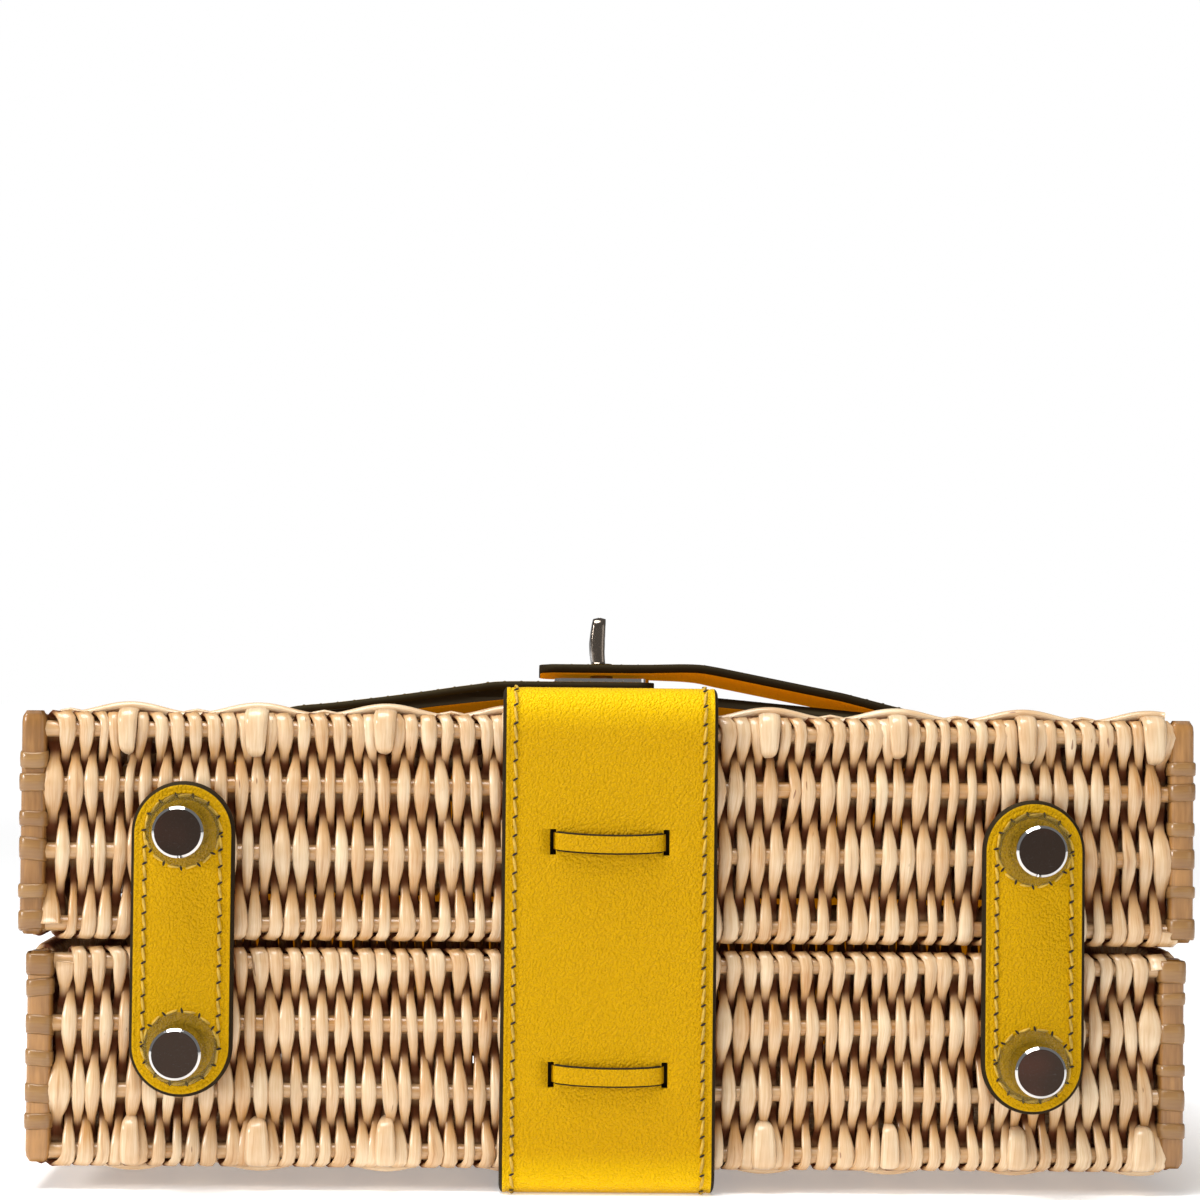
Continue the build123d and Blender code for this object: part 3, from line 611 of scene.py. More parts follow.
def weave_wefts(wall, us, rods, signs, settings, rng, reach, steps=7, bend=5):
    """Wefts that go over and under rods, then turn round the last rod and come back as the next
    weft. us are the wefts' places along the rods and rods (wefts, rods) the rods' places along
    each weft. signs is +1 for a weft that lies outside at its first rod. Each weft runs from rod
    to rod on a wave, swells where it crosses a rod and ends in a half turn of the given reach."""
    count, crossings = rods.shape
    gaps = crossings - 1
    amplitude = settings.rod_radius + settings.weft_depth
    k = np.linspace(0, gaps, gaps * steps + 1)
    stray = rng.normal(0, settings.wander, (count, crossings))
    widths = rng.uniform(settings.weft_narrow, settings.weft_broad, (count, crossings))
    widths = np.where(rng.random((count, crossings)) < 0.1, widths * 0.75, widths)
    widths[[0, -1]] *= BORDER_SHARE
    low = np.minimum(k.astype(int), gaps - 1)
    part = k - low
    ease = part * part * (3 - 2 * part)

    def between_rods(values, share):
        return values[:, low] * (1 - share) + values[:, low + 1] * share

    v = between_rods(rods, part)
    n = signs[:, None] * bent_wave(np.pi * k)[None] * amplitude
    lean = LEAN * np.sin(us / LEAN_WAVE + rng.random() * 6) + rng.normal(0, LEAN_STRAY, count)
    stray += np.where((np.arange(crossings)[None] % 2 == 0) == (signs[:, None] > 0), KINK, -KINK)
    u = us[:, None] + between_rods(stray, part)
    if gaps < 5:  # a wall's wefts also lean, several together
        u = u + lean[:, None] * (k - gaps / 2)[None]
    swell = np.abs(np.cos(np.pi * k))[None] ** SWELL
    a = settings.weft_pinch + (between_rods(widths, ease) - settings.weft_pinch) * swell
    ahead = signs[:, None] > 0
    u, v, n, a = (np.where(ahead, each, each[:, ::-1]) for each in (u, v, n, a))
    # the half turn from the inside to the outside of the rod at which the weft ends
    turn = (np.arange(1, bend) / bend * np.pi)[None]
    next_u = np.append(u[1:, 0], u[-1, -1] + (us[-1] - us[-2]))[:, None]
    next_a = np.append(a[1:, 0], a[-1, -1])[:, None]
    share = (1 - np.cos(turn)) / 2
    turn_u = u[:, -1:] * (1 - share) + next_u * share
    turn_a = a[:, -1:] * (1 - share) + next_a * share
    beyond = np.where(ahead, reach[1], -reach[0])
    turn_v = v[:, -1:] + beyond * np.sin(turn)
    inner = n[:, -1:]
    turn_n = inner * np.cos(turn)
    last = np.stack([next_u, v[:, -1:], -inner, next_a])
    u, v, n, a = (
        np.concatenate([body, bow, end], 1)
        for body, bow, end in zip((u, v, n, a), (turn_u, turn_v, turn_n, turn_a), last)
    )
    depth = n / amplitude
    tone = np.clip(rng.normal(0.5, 0.27, count), 0, 1)[:, None] + 0 * u  # of each weft
    # each weft ends where the next begins, so all of them are one strand
    u, v, n, a, depth, tone = (
        np.append(each[:, :-1].reshape(-1), each[-1, -1])[None] for each in (u, v, n, a, depth, tone)
    )
    paths = wall(u, v, n)
    half_depth = settings.weft_depth + 0.1 * (1 - np.clip(np.abs(depth), 0, 1))
    points = tube(paths, wall.across, a, half_depth, 8, 0.8)
    return points, lengths(paths), running_mean(tone[0])[None, :, None], depth[..., None]


def show_rods(name, starts, ends, radius, rng, body, rows, wobble=0.12):
    """Round rods from starts to ends, each a little crooked: a slow random sine in two directions."""
    starts, ends = np.asarray(starts, float), np.asarray(ends, float)
    share = np.linspace(0, 1, rows)[None, :, None]
    paths = starts[:, None] * (1 - share) + ends[:, None] * share
    phase = rng.random((len(starts), 1, 3)) * 2 * np.pi
    speed = rng.uniform(2, 5, (len(starts), 1, 3))
    paths = paths + wobble * np.sin(phase + speed * share * np.pi)
    side = np.where(np.abs(unit(ends - starts)[:, None] @ Z)[..., None] > 0.9, X, Z)
    radii = radius * (1 + rng.normal(0, 0.03, (len(starts), 1)))
    points = tube(paths, np.broadcast_to(side, paths.shape), radii, radii, 8)
    tone = rng.random(len(starts))[:, None, None]
    # depth 0.42, though the rods lie in the middle of the weave: it keeps their painted shade light
    show_willow(name, points, lengths(paths), tone, 0.42, body, "rod")


# ---------------------------------------------------------------- trays
ROD_SHARES = {"front": (0, 0.367, 0.712, 1), "back": (0, 0.327, 0.682, 1)}  # first rod to last
RIM_ROD = 2.7  # from the rim to the rod behind it
FACE_ROD = {"front": 4.8, "back": 3.5}  # from the big face to the rod behind it
RIM_REACH = 2.25  # how far a wall weft turns past the rod at the rim
FACE_REACH = {"front": 2.55, "back": 2.2}  # and past the rod at the big face
FACE_TURN = 2.2  # how far a big face's weft turns past its last stake
FACE_SINK = 0.85  # how far the wefts of a big face lie below the first one
CORNER = 4.7  # width of a corner post with its wrapping
ROD_TUCK = 2.0  # how far a wall's rods run on into the corner posts
POST_HALF, WRAP_HALF = 2.1, 0.22  # half width of a post and half thickness of a strip round it
PEG_PART = 0.75  # how far a peg pushes the wefts beside it apart
EDGE_STAKE = 2.6  # from a corner post to the first stake
STOUT_WIDE, STOUT_DEEP = 1.35, 0.85  # half width and half thickness of a big face's border wefts
STOUT_RIDE, STOUT_WAVE = 0.62, 0.9  # how much higher than the others they lie, and their rise and fall


class Tray:
    """Where everything on one half of the bag is."""

    def __init__(self, half):
        self.half, self.body = half, f"{half}_half"
        self.side = 1 if half == "front" else -1
        self.low, self.high = (FRONT_LOW, FRONT_HIGH) if half == "front" else (BACK_LOW, BACK_HIGH)
        self.rim = FRONT_RIM if half == "front" else BACK_RIM
        self.half_width = self.high[0]

    def depth(self, y):
        """How far the big face's outer surface is from the rim at y."""
        face = front_height(y) if self.half == "front" else self.low[2] + 0 * np.asarray(y, float)
        return np.abs(face - self.rim)

    def rods(self, y):
        """Places of the wall's rods above the rim, for each y."""
        far = self.depth(y)[:, None] - FACE_ROD[self.half]
        return RIM_ROD + (far - RIM_ROD) * np.array(ROD_SHARES[self.half])


def centred(count, step):
    """Evenly spaced places on both sides of 0."""
    return (np.arange(count) - (count - 1) / 2) * step


def alternate(index):
    """+1 for even numbers and -1 for odd ones."""
    return np.where(index % 2 == 0, 1.0, -1.0)


def make_tray(scene, half):
    """The weave of one half: end walls, side walls, the big face, their rods and the posts."""
    settings, tray = scene.bag_wicker, Tray(half)
    rng = np.random.default_rng(settings.seed + (half == "front"))
    skin = settings.rod_radius + 2 * settings.weft_depth  # from the weave's middle to its surface
    inner_x, inner_y = tray.half_width - CORNER, TOP_Y - CORNER
    pitch = 2 * (inner_x - EDGE_STAKE) / (settings.stakes - 1)
    step = pitch / settings.wefts_per_stake
    stakes = centred(settings.stakes, pitch)
    reach = (RIM_REACH, FACE_REACH[half])
    for end, y in (("bottom", BOTTOM_Y), ("top", TOP_Y)):
        out = Y * math.copysign(1, y)
        wall = Wall((0, y - out[1] * skin, tray.rim), X, Z * tray.side, out)
        pegs = stakes[1::2]
        first, last = math.ceil((-inner_x - pegs[0]) / step), math.floor((inner_x - pegs[0]) / step)
        index = np.arange(first, last + 1)
        us = pegs[0] + index * step
        rods = tray.rods(np.full(us.size, y))
        points, *rest = weave_wefts(wall, us, rods, alternate(index), settings, rng, reach)
        rise = (np.abs(points[..., 2] - tray.rim) - rods[0, 2]) / (rods[0, 3] - rods[0, 2])
        part_round_pegs(points, pegs, step, rise)
        show_willow(
            f"{half}_{end}_wefts", points, *rest, tray.body,
            replaces=f"{half}_tray" if end == "bottom" else None,
        )
        make_pegs(tray, wall, pegs, end, skin, rng)
        starts, ends = ([wall(x, v, 0) for v in rods[0]] for x in (-inner_x - ROD_TUCK, inner_x + ROD_TUCK))
        show_rods(f"{half}_{end}_rods", starts, ends, settings.rod_radius, rng, tray.body, 60)
    for hand, sx in HANDS:
        wall = Wall((sx * (tray.half_width - skin), 0, tray.rim), Y, Z * tray.side, X * sx)
        count = int(2 * inner_y / step)
        us = centred(count, step)
        made = weave_wefts(wall, us, tray.rods(us), alternate(np.arange(count)), settings, rng, reach)
        show_willow(f"{half}_{hand}_wefts", *made, tray.body)
        starts, ends = (
            [wall(y, v, 0) for v in tray.rods(np.array([y]))[0]]
            for y in (-inner_y - ROD_TUCK, inner_y + ROD_TUCK)
        )
        show_rods(f"{half}_{hand}_rods", starts, ends, settings.rod_radius, rng, tray.body, 40)
    make_face(tray, stakes, step, skin, settings, rng)
    make_posts(tray, rng)


def part_round_pegs(points, pegs, step, rise):
    """Pushes the wefts of an end wall sideways where they pass a peg's tip: most for the two next
    to it and less on a bell curve beyond, growing with rise from 0 to 1."""
    near = points[..., 0].mean(-1)[..., None] - pegs
    nearest = np.take_along_axis(near, np.abs(near).argmin(-1)[..., None], -1)[..., 0]
    beyond = np.maximum(np.abs(nearest) - step, 0)
    push = np.tanh(nearest / 0.5) * PEG_PART * np.exp(-((beyond / 1.1) ** 2)) * (np.abs(nearest) > 0.4)
    points[..., 0] += push[..., None] * np.clip(rise, 0, 1)


def make_face(tray, stakes, step, skin, settings, rng):
    """The big face: stakes that run from the bottom end to the top end, and wefts across them. The
    first and last wefts are stouter and ride higher over the stakes that turn down as pegs."""
    if tray.half == "front":
        along, out, origin = FACE_UP, FACE_OUT, FACE_ORIGIN
    else:
        along, out, origin = Y, -Z, np.array([0, BOTTOM_Y, BACK_LOW[2]])
    wall = Wall(origin - out * (skin + FACE_SINK), along, X, out)
    length = (TOP_Y - BOTTOM_Y) / along[1]
    first, last = CORNER + 1.6, length - CORNER - 1.6
    count = int((last - first) / step) + 1
    count -= count % 2
    us = np.linspace(first, last, count)
    rods = np.broadcast_to(stakes, (count, stakes.size))
    signs = -alternate(np.arange(count))
    reach = (FACE_TURN, FACE_TURN)
    made = weave_wefts(wall, us, rods, signs, settings, rng, reach, steps=6, bend=4)
    show_willow(f"{tray.half}_face_wefts", *made, tray.body)
    starts, ends = ([wall(u, x, 0) for x in stakes] for u in (CORNER - 1.5, length - CORNER + 1.5))
    show_rods(f"{tray.half}_stakes", starts, ends, settings.rod_radius, rng, tray.body, 40, 0.06)
    # the stout wefts at both ends
    x = np.linspace(stakes[0] - EDGE_STAKE, stakes[-1] + EDGE_STAKE, 220)[None]
    wave = -np.cos(np.pi * (x - stakes[0]) / (stakes[1] - stakes[0]))
    u = np.array([[CORNER - 0.2], [length - CORNER + 0.2]])
    paths = wall(u, x, FACE_SINK + STOUT_RIDE + STOUT_WAVE * wave)
    points = tube(paths, wall.across, STOUT_WIDE, STOUT_DEEP, 10, 0.9)
    tone = 0.25 + 0.25 * rng.random((2, 1, 1))
    show_willow(f"{tray.half}_border_wefts", points, lengths(paths), tone, 0.8, tray.body)


def make_pegs(tray, wall, stakes, end, skin, rng):
    """Stakes that bend over the edge of the big face and end on the wall: flat at the bend, round
    and tucked in at the tip."""
    top = float(tray.depth(BOTTOM_Y if end == "bottom" else TOP_Y))
    # height on the wall and distance out of its middle: in the face, over the edge, down, in again
    profile = rounded_line(
        [(top - 3.0, -7.0), (top - 1.8, -1.0), (top - 1.75, skin + 0.15), (top - 8.4, skin + 0.3),
         (top - 9.8, skin - 2.6)],
        [3.0, 1.9, 1.6],
    )
    share = np.linspace(0, 1, 22)
    line = at_distance(profile, share * length_of(profile))
    drop = rng.uniform(-0.2, 1.3, stakes.size)[:, None]
    v = line[:, 0] + drop * np.clip((share - 0.5) * 2, 0, 1)
    tilt = rng.normal(0, 0.25, stakes.size)[:, None]
    paths = wall(stakes[:, None] + tilt * share, v, line[:, 1])
    tip = np.sqrt(np.clip(1 - (np.clip(share - 0.42, 0, 1) / 0.60) ** 2, 0.02, 1))
    width = 1.95 * tip ** 0.8
    deep = np.where(share < 0.5, 0.75, 0.75 * np.sqrt(np.clip(1 - ((share - 0.5) / 0.52) ** 2, 0.05, 1)))
    scale = rng.uniform(0.82, 1.15, stakes.size)[:, None]
    points = tube(paths, wall.across, width * scale, deep * scale, 12, 0.85)
    tone = 0.15 + 0.3 * rng.random((stakes.size, 1, 1))
    show_willow(f"{tray.half}_{end}_pegs", points, lengths(paths), tone, 0.9, tray.body)


def make_posts(tray, rng):
    """Four corner posts: an upright golden rod, squarish in section, and paler strips wrapped round
    it at uneven heights."""
    inset = CORNER / 2 - 0.15
    share, turn = np.linspace(0, 1, 40), np.linspace(0, 2 * np.pi, 25)
    square = (np.abs(np.cos(turn)) ** 4 + np.abs(np.sin(turn)) ** 4) ** -0.25
    posts, rings, tall, tones = [], [], [], []
    for sx, sy in ((-1, -1), (-1, 1), (1, -1), (1, 1)):
        x, y = sx * (tray.half_width - inset), sy * (TOP_Y - inset)
        heights = tray.rim + tray.side * (0.9 + share * (float(tray.depth(y)) - 2.6))
        posts.append(np.stack(np.broadcast_arrays(x, y, heights), -1))
        rods = tray.rods(np.array([y]))[0]
        centres = np.concatenate([rods[:3] + 0.4, (rods[:3] + rods[1:]) / 2 + rng.normal(0, 0.5, 3)])
        halves = np.concatenate([rng.uniform(1.5, 1.95, 3), rng.uniform(0.9, 1.6, 3)])
        for centre, half_height in zip(centres, halves):
            tilt = rng.normal(0, 0.22)
            z = tray.rim + tray.side * (centre + tilt * np.cos(turn + rng.random() * 6))
            radius = (POST_HALF + 0.16 * rng.random()) * square
            rings.append(np.stack([x + radius * np.cos(turn), y + radius * np.sin(turn), z], -1))
            tall.append([half_height])
            tones.append([[0.5 * rng.random()]])
    paths, rings = np.array(posts), np.array(rings)
    ends = np.sqrt(np.clip(1 - ((share - 0.5) / 0.5) ** 40, 0.45, 1))
    points = tube(paths, X, POST_HALF * ends, POST_HALF * ends, 20, 0.55)
    tone, node = rng.random((4, 1, 1)), f"{tray.half}_corner_posts"
    show_willow(f"{tray.half}_posts", points, lengths(paths), tone, 0.6, tray.body, "post", ROD, node)
    # a strip stands on edge along Z and its section is flat
    strips = tube(rings, Z, np.array(tall), WRAP_HALF, 8, 0.7)
    name, tones = f"{tray.half}_post_wraps", np.array(tones)
    show_willow(name, strips, lengths(rings), tones, 0.7, tray.body, "wrap", ROD)


# ---------------------------------------------------------------- leather
EDGE_AND_UNDER = ((0, 1, 0, 1), (0, 0, 1, 0))  # what face, edge, underside and edge are marked as
HAIR = 0.03  # lines this close to both sides of a cut give it upright walls
BEND_RADIUS = 4.5  # of the band's bends; the face is painted paler in full on a bend as tight as this, partly as stretched leather and partly as a painted highlight
CORNER_RADIUS = 9.9  # of the band's and the flap's corners
SLIT_DEPTH, LACE_SLIT_DEPTH = 1.4, 1.9  # in the flap and the straps, and in the band


def strip_section(half, thickness, edge_width, lines=()):
    """A strip's section as (x, height, edge, under) arrays, once round: the face from left to
    right, a half ellipse over the right edge, the underside and the other edge."""
    flat = half - edge_width
    face = np.unique(np.concatenate([np.linspace(-flat, flat, 15), np.asarray(lines, float)]))
    face = face[np.abs(face) <= flat + 1e-9]
    turn = np.linspace(np.pi / 2, -np.pi / 2, 9)[1:-1]
    edge_x, edge_h = flat + edge_width * np.cos(turn), (np.sin(turn) - 1) * thickness / 2
    under = np.linspace(flat, -flat, 9)
    x = np.concatenate([face, edge_x, under, -edge_x[::-1]])
    h = np.concatenate([0 * face, edge_h, 0 * under - thickness, edge_h[::-1]])
    sizes = (face.size, turn.size, under.size, turn.size)
    return x, h, *(np.repeat(mark, sizes) for mark in EDGE_AND_UNDER)


def both_sides(places):
    """Lines close to both sides of each place."""
    return [place + d for place in places for d in (-HAIR, HAIR)]


def stations_at(*groups):
    """Sorted distances along a strip, without those less than 0.02 mm after another."""
    stations = np.unique(np.concatenate(groups))
    return stations[np.concatenate([[True], np.diff(stations) > 0.02])]


def strip(name, line, side, widths, thickness, edge_width, stations, lines=(), relief=None, lift=None,
          stretch_and_highlight=0.0):
    """Leather carried along a line of face points. widths gives the half width at each station,
    relief(x, s) how far the face is pressed in there, with a mask of what is painted dark as the shade
    in a cut, and lift(x, s) how far the whole thickness is raised there along the line's normal. The
    last argument says how far the face is painted paler on a bend, in full on one of BEND_RADIUS:
    partly the paler stretched leather, partly a painted highlight on the bend."""
    total = length_of(line)
    centre = at_distance(line, stations)
    ahead = unit(np.gradient(centre, stations, axis=0))
    normal = unit(np.cross(side, ahead))
    half = float(np.max(widths(stations)))
    x, h, edge, below = strip_section(half, thickness, edge_width, lines)
    xs = x * (widths(stations) / half)[:, None]
    hs, edges, belows = (np.broadcast_to(value, xs.shape) for value in (h, edge, below))
    if relief is not None:
        press, dark = relief(xs, stations[:, None] + 0 * xs)
        on_face = (belows == 0) & (edges == 0)
        hs = np.where(on_face, hs - press, hs)
        edges = np.where(on_face, np.maximum(edges, dark), edges)
    if lift is not None:
        hs = hs + lift(xs, stations[:, None] + 0 * xs)
    # the two ends are painted too
    end = (stations < 0.3) | (stations > total - 0.3)
    edges = np.where(end[:, None], 1.0, edges)
    points = centre[:, None] + xs[..., None] * side + hs[..., None] * normal[:, None]
    # the face is painted paler on bends: partly stretched leather, partly a painted highlight
    curl = running_mean(np.linalg.norm(np.gradient(ahead, stations, axis=0), axis=1))
    pale = np.broadcast_to(stretch_and_highlight * np.clip(curl * BEND_RADIUS, 0, 1)[:, None], xs.shape)
    values = {"edge": edges, "under": belows, "stretch_and_highlight": pale}
    return grid_mesh(name, points[:, ::-1], stations * MM, {k: v[:, ::-1] for k, v in values.items()})


def box_mask(x, s, x_range, s_range):
    """1 inside a box on the leather and 0 outside it."""
    return ((x > x_range[0]) & (x < x_range[1]) & (s > s_range[0]) & (s < s_range[1])).astype(float)


def groove(distance, depth, width):
    """A rounded furrow, depth·exp(-(distance/width)²)."""
    return depth * np.exp(-((distance / width) ** 2))


def rounded_end(widths, total, radius):
    """Half widths whose corners are rounded at both ends, as quarter circles."""
    def shaped(s):
        gap = np.clip(radius - np.minimum(s, total - s), 0, radius)
        return widths(s) - (radius - np.sqrt(np.clip(radius**2 - gap**2, 0, None)))
    return shaped


THREAD, HOLE = 0.25, 0.22  # radius of a thread and half width of its hole
THREAD_SHARE = 0.41  # half a thread's length as a share of the pitch
THREAD_DIVE = 0.16  # how far a thread's ends lie below the leather's face
HOLE_HALF = 0.50  # half length of a hole


def stitch_row(name, places, ahead, out, body, pitch, lean=0.2, rise=0.34):
    """Saddle stitches and their holes. places are stitch middles, ahead their directions and out
    the surface's normals. A stitch is a short thread that rises in the middle on a cosine, leans
    across the row and dives into a hole at each end."""
    across = np.cross(out, ahead)
    share = np.linspace(-1, 1, 7)[None, :, None]
    height = rise * np.cos(share * np.pi / 2) ** 0.7 - THREAD_DIVE
    paths = (
        places[:, None] + share * pitch * THREAD_SHARE * ahead[:, None]
        + share * lean * across[:, None] + height * out[:, None]
    )
    slim = THREAD * np.sqrt(np.clip(1.05 - share[..., 0] ** 2 * 0.75, 0, 1))
    points = tube(paths, across[:, None], slim * 1.1, slim, 6)
    threads = show(grid_mesh(f"{name}_stitches", points, lengths(paths)), "thread", body)
    # the holes are dark marks laid just above the face: painted shade of the awl holes
    share = np.linspace(-1, 1, 5)[None, :, None]
    slant = unit(across - ahead * 0.55)
    paths = (places + ahead * pitch / 2)[:, None] + share * HOLE_HALF * slant[:, None] + 0.02 * out[:, None]
    slim = HOLE * np.sqrt(np.clip(1.05 - share[..., 0] ** 2, 0, 1))
    points = tube(paths, out[:, None], slim * 0.6, slim, 6)
    return threads, show(grid_mesh(f"{name}_holes", points, lengths(paths)), "hole", body)


def rows_on_strip(line, side, offset, pitch, start, end):
    """Stitch middles along a strip's line at a sideways offset, from distance start to end."""
    count = int((end - start) / pitch)
    s = start + (np.arange(count) + 0.5) * (end - start) / count
    ahead = unit(at_distance(line, s + 0.2) - at_distance(line, s - 0.2))
    return at_distance(line, s) + offset * side, ahead, unit(np.cross(side, ahead))


HINGE_BEND = 5.0  # distance on each side of the seam, in mm


def fold_at_seam(piece):
    """Bakes the piece's place in the scene into its mesh."""
    (SEAM - HINGE_BEND) * MM
    (SEAM + HINGE_BEND) * MM
    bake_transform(piece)


BAND_THICKNESS, BAND_ABOVE = 2.5, 3.0  # and how high the band's face lies above the front face
BAND_END = 30.0  # how far up the front face the band runs on under the flap, from the middle
BAND_CLEAR = 12.0  # from the band's ends to its rows of stitches


def make_band(scene):
    """The band, its stitching and its two laces."""
    hide, half = scene.bag_leather, BAND_HIGH[0]
    laces = {end: node_box(f"band_lace_{end}") for end in ("back", "front")}
    lace_half, lace_tall = laces["back"][1][0], (laces["back"][1][2] - laces["back"][0][2]) / 2
    corners = [
        (BAND_HIGH[1], 0.0), (BAND_Y, 0.0), (BAND_Y, front_height(BAND_Y, BAND_ABOVE)),
        (BAND_END, front_height(BAND_END, BAND_ABOVE)),
    ]
    line = in_middle_plane(rounded_line(corners, [BEND_RADIUS, BEND_RADIUS]))
    total = length_of(line)
    upright = BAND_HIGH[1] - BAND_Y + BEND_RADIUS * (np.pi / 2 - 2)  # distance at which z is zero
    slits = []
    for low, high in laces.values():
        s = upright + (low[2] + high[2]) / 2
        for sx in (-1, 1):
            x = sx * (lace_half - 0.2)
            slits.append(((x - 0.5, x + 0.5), (s - lace_tall - 0.45, s + lace_tall + 0.45)))
    marks = [half - offset for offset in (1.15, 1.35, 1.55)]
    marks += [half - hide.stitch_inset + d for d in (-0.5, 0, 0.5)]
    lines = [sx * mark for sx in (-1, 1) for mark in marks]
    lines += both_sides(x for x_range, _ in slits for x in x_range)
    slit_ends = both_sides(s for _, s_range in slits for s in s_range)
    stations = stations_at(np.arange(0, total, 1.1), [total], slit_ends)

    def relief(x, s):
        # painted shade: the bottom of each pressed-in slit gets the dark edge colour, standing for the shade
        # in the open cut
        dark = np.clip(sum(box_mask(x, s, *slit) for slit in slits), 0, 1)
        inset = half - np.abs(x)
        furrows = groove(inset - 1.35, 0.14, 0.16) + groove(inset - hide.stitch_inset, 0.10, 0.5)
        return dark * LACE_SLIT_DEPTH + furrows, dark

    widths = rounded_end(lambda s: half + 0 * s, total, CORNER_RADIUS)
    mesh = strip(
        "center_band_leather", line, X, widths, BAND_THICKNESS, hide.edge_width, stations, lines, relief,
        stretch_and_highlight=1.0,
    )
    fold_at_seam(show(mesh, "leather", None, "center_band"))
    for hand, sx in HANDS:
        row = rows_on_strip(
            line, X, sx * (half - hide.stitch_inset), hide.stitch_pitch, BAND_CLEAR, total - BAND_CLEAR
        )
        for piece in stitch_row(f"band_{hand}", *row, None, hide.stitch_pitch, lean=0.22 * -sx):
            fold_at_seam(piece)
    for end, (low, high) in laces.items():
        centre = (0, BAND_Y, (low[2] + high[2]) / 2)
        make_lace(f"band_lace_{end}", centre, Z, -Y, lace_half, lace_tall, f"{end}_half")


def make_lace(node, centre, side, out, half, tall, body):
    """A narrow lace that comes out of one slit, bows off the leather and goes into the other. It
    bows by 1 minus the sixth power of its share of the way and droops on a parabola."""
    share = np.linspace(-1, 1, 31)[:, None]
    bow = 1.25 * (1 - np.abs(share) ** 6) - 1.2 * np.clip((np.abs(share) - 0.93) / 0.07, 0, 1) ** 2
    droop = 0.45 * (share**2 - 1) + 0.12 - 0.1 * share
    line = np.asarray(centre, float) + share * (half - 0.2) * X + bow * out + droop * side
    across = side * math.copysign(1, np.cross(side, X) @ out)
    stations = np.linspace(0, length_of(line), 40)
    mesh = strip(f"{node}_leather", line, across, lambda s: tall + 0 * s, 0.9, 0.36, stations)
    show(mesh, "leather", body, node)


def stadium(flat, straight_count, arc_count):
    """Outward directions and points round the middle line of a stadium that stands upright: the
    points run along the line and the direction turns round at each end. An outline at a distance
    from the line is point + distance·direction."""
    arc = np.linspace(0, np.pi, arc_count)
    sides = np.linspace(flat, -flat, straight_count)[1:-1]
    cap = np.stack([np.cos(arc), np.sin(arc)], -1)
    left = np.broadcast_to([-1.0, 0.0], (sides.size, 2))
    run = np.stack([0 * sides, sides], -1)
    turn = np.concatenate([cap, left, -cap, -left])
    top = np.broadcast_to([0.0, flat], cap.shape)
    return turn, np.concatenate([top, run, -top, -run])


TAB_INSET, TAB_PITCH = 2.4, 2.8  # of the stitches round a tab's border
FOOT_RING, RING_PITCH, RING_COUNT = 6.3, 2.6, 6  # of the stitches round a foot; the first is a radius
# distances from a tab's edge and depths there: a crease, then the furrow of the stitching
TAB_GROOVES = ((1.15, 0.02), (1.35, 0.15), (1.55, 0.02), (1.95, 0.03), (TAB_INSET, 0.12), (2.85, 0.03))


def make_tabs(scene):
    """The hinge tabs: stadium outlines drawn in towards their middle line, with a painted edge, a
    crease, a row of stitches round the border and a ring of stitches round each foot."""
    hide = scene.bag_leather
    for hand, _ in HANDS:
        low, high = node_box(f"hinge_tab_{hand}")
        centre = (low + high) / 2
        x, half, thickness = centre[0], (high[0] - low[0]) / 2, high[1] - low[1]
        flat = (high[2] - low[2]) / 2 - half
        # distance from the middle line, height, and the marks for edge and underside
        profile = [(0.0, -thickness, 0, 1), (half - 0.8, -thickness, 0, 1)]
        profile += [
            (half + hide.edge_width * (math.cos(t) - 1), (math.sin(t) - 1) * thickness / 2, 1, 0)
            for t in np.linspace(-np.pi / 2, np.pi / 2, 9)[1:-1]
        ]
        profile += [(half - hide.edge_width, 0, 0, 0)]
        profile += [(half - inset, -depth, 0, 0) for inset, depth in TAB_GROOVES]
        profile += [(r, 0.04, 0, 0) for r in np.linspace(half - 3.4, 0.0, 8)]
        r, h, edge, below = (np.array(column)[:, None] for column in zip(*profile))

        def on_tab(turn, core, distance, height):
            """Points at a distance from the middle line and a height on the leather."""
            across, upright = (core[:, k] + distance * turn[:, k] for k in (0, 1))
            return np.stack(np.broadcast_arrays(x + across, low[1] - height, centre[2] + upright), -1)

        name = f"hinge_tab_{hand}_leather"
        points = on_tab(*stadium(flat, 40, 44), r, h)
        marks = {"edge": edge, "under": below}
        mesh = grid_mesh(name, points, np.arange(r.size) * MM, marks, caps=False)
        fold_at_seam(show(mesh, "leather", None, f"hinge_tab_{hand}"))
        loop = on_tab(*stadium(flat, 60, 90), half - TAB_INSET, 0.0)
        loop = np.concatenate([loop, loop[:1]])
        total = length_of(loop)
        count = round(total / TAB_PITCH)
        s = (np.arange(count) + 0.5) * total / count
        ahead = unit(at_distance(loop, s + 0.1) - at_distance(loop, s - 0.1))
        out = np.broadcast_to(-Y, ahead.shape)
        row = stitch_row(f"tab_{hand}", at_distance(loop, s), ahead, out, None, total / count, lean=0.18)
        for piece in row:
            fold_at_seam(piece)
        for end, facing in (("back", -1), ("front", 1)):
            foot_low, foot_high = node_box(f"foot_{hand}_{end}")
            angle = facing * np.linspace(np.pi * 1.12, np.pi * 1.88, RING_COUNT)
            ahead = np.stack([-np.sin(angle), 0 * angle, np.cos(angle)], -1)
            places = (x, low[1], (foot_low[2] + foot_high[2]) / 2) + FOOT_RING * np.cross(Y, ahead)
            out = np.broadcast_to(-Y, ahead.shape)
            name = f"tab_{hand}_{end}_ring"
            stitch_row(name, places, ahead, out, f"{end}_half", RING_PITCH, lean=0.15)


